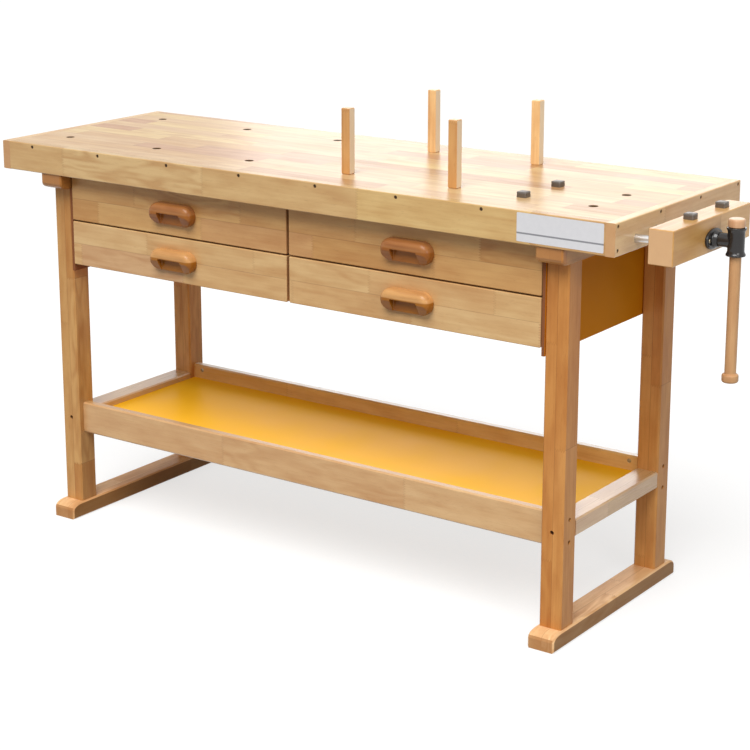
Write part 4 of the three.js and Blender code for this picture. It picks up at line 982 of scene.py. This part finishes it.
knob_radius = (bar_high.x - bar_low.x) / 2
bar_reach = bar_high.z - bar_low.z
bar = turned("vise_handle_bar_turned", "Z", (handle_x, axis_y, bar_low.z),
             rounded_band(knob_radius, 0, LOWER_KNOB, KNOB_ROUND, KNOB_ROUND)
             + [(HANDLE_BAR + BAR_COVE, LOWER_KNOB), (HANDLE_BAR, LOWER_KNOB + BAR_COVE),
                (HANDLE_BAR, bar_reach)], sides=64)
smooth(bar, 40)
finish_piece(bar, handle_wood, "handle", "leg_wood", "vise_handle_bar")

low, high = corners("vise_handle_knob")
knob = turned("vise_handle_knob_turned", "Z", (handle_x, axis_y, low.z),
              rounded_band(knob_radius, 0, high.z - low.z, KNOB_ROUND / 2, KNOB_ROUND), sides=64)
carve(knob, turned("bore", "Z", (handle_x, axis_y, low.z), [
    (HANDLE_BAR + SEAT_GAP, -KNOB_ROUND), (HANDLE_BAR + SEAT_GAP, KNOB_BORE)], sides=64))
smooth(knob, 40)
finish_piece(knob, knob_wood, "handle", "pale_wood", "vise_handle_knob")

# Pegs
# Square hardwood pegs, each with a round tenon that stands in a dog hole. Straight-grained, lightly
# oiled, with painted light making two sides paler. The rear pair is of paler wood.

PEG_TONES = {"front": ("#D8A364", "#DDAA6C"), "rear": ("#F6CC90", "#F8D098")}

# oiled hardwood: an even colour with a low shine
for row, tones in PEG_TONES.items():
    # the pegs' sides along X take a pale tone as painted light
    peg_wood = rubberwood(f"oiled_hardwood_{row}_pegs", "Z", "X", (700 * MM, 300 * MM), tones, "#C08A54",
                          rough=0.42, end_grain="#F2D8B0", painted_side_tone="#FFF0D4")
    dress(peg_wood, f"{row}_left_peg", f"{row}_right_peg")

# Bench dogs
# Steel dogs with a square head on a round shank that fits the holes. The head has rounded corners, a
# chamfered top and a groove by which it is lifted. Ground on top, dull and grey on the sides.

DOG_CORNER = 3 * MM
DOG_CHAMFER = 1.5 * MM
DOG_LIFT = 0.2 * MM
DOG_SHANK = 9.1 * MM
SHANK_CHAMFER = 0.8 * MM
GROOVE_BELOW_TOP = 3.8 * MM
GROOVE_HEIGHT = 1 * MM
GROOVE_DEPTH = 0.8 * MM

# unplated steel: a dull grey with a brown cast and short grinding lines
dog_steel = worked_metal("ground_dog_steel", "#7E7770", (1.2 * MM, 0.5 * MM, 0.5 * MM), 0.4, 0.08)

low, high = corners("front_bench_dog")
head_foot = top_high.z + DOG_LIFT
front_dog = block("front_bench_dog_ground", (low.x, low.y, head_foot), high)
bpy.ops.object.mode_set(mode="EDIT")
pick("edges", lambda edge: abs(edge.verts[0].co.z - edge.verts[1].co.z) > DOG_CORNER)
bpy.ops.mesh.bevel(offset=DOG_CORNER, segments=5, affect="EDGES")
pick("edges", lambda edge: level(edge, 2, high.z))
bpy.ops.mesh.bevel(offset=DOG_CHAMFER, segments=2, affect="EDGES")
groove_top = high.z - GROOVE_BELOW_TOP
for z in (groove_top, groove_top - GROOVE_HEIGHT):
    bpy.ops.mesh.select_all(action="SELECT")
    bpy.ops.mesh.bisect(plane_co=(0, 0, z), plane_no=(0, 0, 1))
groove_middle = groove_top - GROOVE_HEIGHT / 2
pick("faces", lambda face: abs(face.calc_center_median().z - groove_middle) < GROOVE_HEIGHT / 4)
bpy.ops.mesh.extrude_region_shrink_fatten(TRANSFORM_OT_shrink_fatten={"value": -GROOVE_DEPTH})
bpy.ops.object.mode_set(mode="OBJECT")
shank_reach = head_foot - low.z
carve(front_dog, turned("shank", "Z", ((low.x + high.x) / 2, (low.y + high.y) / 2, low.z), [
    (DOG_SHANK - SHANK_CHAMFER, 0), (DOG_SHANK, SHANK_CHAMFER),
    (DOG_SHANK, shank_reach + GROOVE_HEIGHT)]), "UNION")
smooth(front_dog)

dogs = {"front_bench_dog": front_dog}
for name in ("rear_bench_dog", "front_jaw_dog", "rear_jaw_dog"):
    dogs[name] = moved_copy(front_dog, f"{name}_ground", Matrix.Translation(corners(name)[0] - low))
for name, dog in dogs.items():
    finish_piece(dog, dog_steel, name, "dog_steel", name)

# Studio
# A pale seamless floor and a white surround that the lacquer mirrors. A broad key light from the front
# and above, a softbox at the vise end and a panel behind the bench keep the shadows soft.


def seen_or_mirrored(tree):
    """1 for what the camera sees straight or in a mirror or glass, 0 for the light on the object."""
    path = node(tree, "ShaderNodeLightPath").outputs
    seen = node(tree, "ShaderNodeMath", {0: path["Is Camera Ray"], 1: path["Is Glossy Ray"]},
                operation="MAXIMUM")
    return node(tree, "ShaderNodeMath", {0: seen, 1: path["Is Transmission Ray"]}, operation="MAXIMUM")


FLOOR_DROP = 0.5 * MM
FLOOR_SIZE = 60
FLOOR_GLOW = 0.68

bpy.ops.object.select_all(action="DESELECT")
bpy.ops.mesh.primitive_plane_add(size=FLOOR_SIZE, location=(0, 0, -FLOOR_DROP))
floor = bpy.context.object
floor.name = "studio_floor"
# pale floor: matt, with hardly any cloud, and nearly white to the camera
paper, tree = blank_material("pale_floor")
here = node(tree, "ShaderNodeTexCoord")
cloud = node(tree, "ShaderNodeTexNoise", {"Vector": here.outputs["Object"], "Scale": 0.7})
tint = node(tree, "ShaderNodeMix", {0: cloud, 6: linear("#A4A4A3"), 7: linear("#A1A1A0")},
            data_type="RGBA")
glow = node(tree, "ShaderNodeMath", {0: seen_or_mirrored(tree), 1: FLOOR_GLOW}, operation="MULTIPLY")
shader = node(tree, "ShaderNodeBsdfPrincipled", {
    "Base Color": tint, "Roughness": 0.9, "Specular IOR Level": 0.0,
    "Emission Color": (1, 1, 1, 1), "Emission Strength": glow})
node(tree, "ShaderNodeOutputMaterial", {"Surface": shader})
floor.data.materials.append(paper)

AMBIENT = 0.24
world = bpy.data.worlds.new("studio_surround")
bpy.context.scene.world = world
world.use_nodes = True
tree = world.node_tree
tree.nodes.clear()
soft = node(tree, "ShaderNodeBackground", {"Color": linear("#FFFFFF"), "Strength": AMBIENT})
white = node(tree, "ShaderNodeBackground", {"Color": linear("#FFFFFF"), "Strength": 1.0})
surround = node(tree, "ShaderNodeMixShader", {0: seen_or_mirrored(tree), 1: soft, 2: white})
node(tree, "ShaderNodeOutputWorld", {"Surface": surround})

KEY_FROM = Vector((0.2, -1.0, 1.4))
KEY_STRENGTH = 2.95
KEY_SPREAD = 40
bpy.ops.object.light_add(type="SUN", rotation=KEY_FROM.to_track_quat("Z", "Y").to_euler())
key = bpy.context.object
key.name = "key_light"
key.data.energy = KEY_STRENGTH
key.data.angle = math.radians(KEY_SPREAD)

BENCH_MIDDLE = Vector((0, 0, 0.6))
for name, place, size, power in (("right_softbox", (2.4, -1.2, 1.7), (0.9, 0.9), 12.5),
                                 ("rear_panel", (-1.0, 2.6, 1.5), (2.5, 1.0), 14.5)):
    bpy.ops.object.light_add(type="AREA", location=place,
                             rotation=(Vector(place) - BENCH_MIDDLE).to_track_quat("Z", "Y").to_euler())
    softbox = bpy.context.object
    softbox.name = name
    softbox.data.shape = "RECTANGLE"
    softbox.data.size, softbox.data.size_y = size
    softbox.data.energy = power
    softbox.visible_camera = False

CAMERA_PLACE = (2.3060, -3.2848, 1.5792)
CAMERA_PITCH = 14.239
CAMERA_YAW = 35.398
CAMERA_LENS = 94.96
CAMERA_SHIFT = -0.10
bpy.ops.object.camera_add(location=CAMERA_PLACE,
                          rotation=(math.radians(90 - CAMERA_PITCH), 0, math.radians(CAMERA_YAW)))
camera = bpy.context.object
camera.data.lens = CAMERA_LENS
camera.data.shift_y = CAMERA_SHIFT
bpy.context.scene.camera = camera
bpy.context.scene.view_settings.view_transform = "Standard"
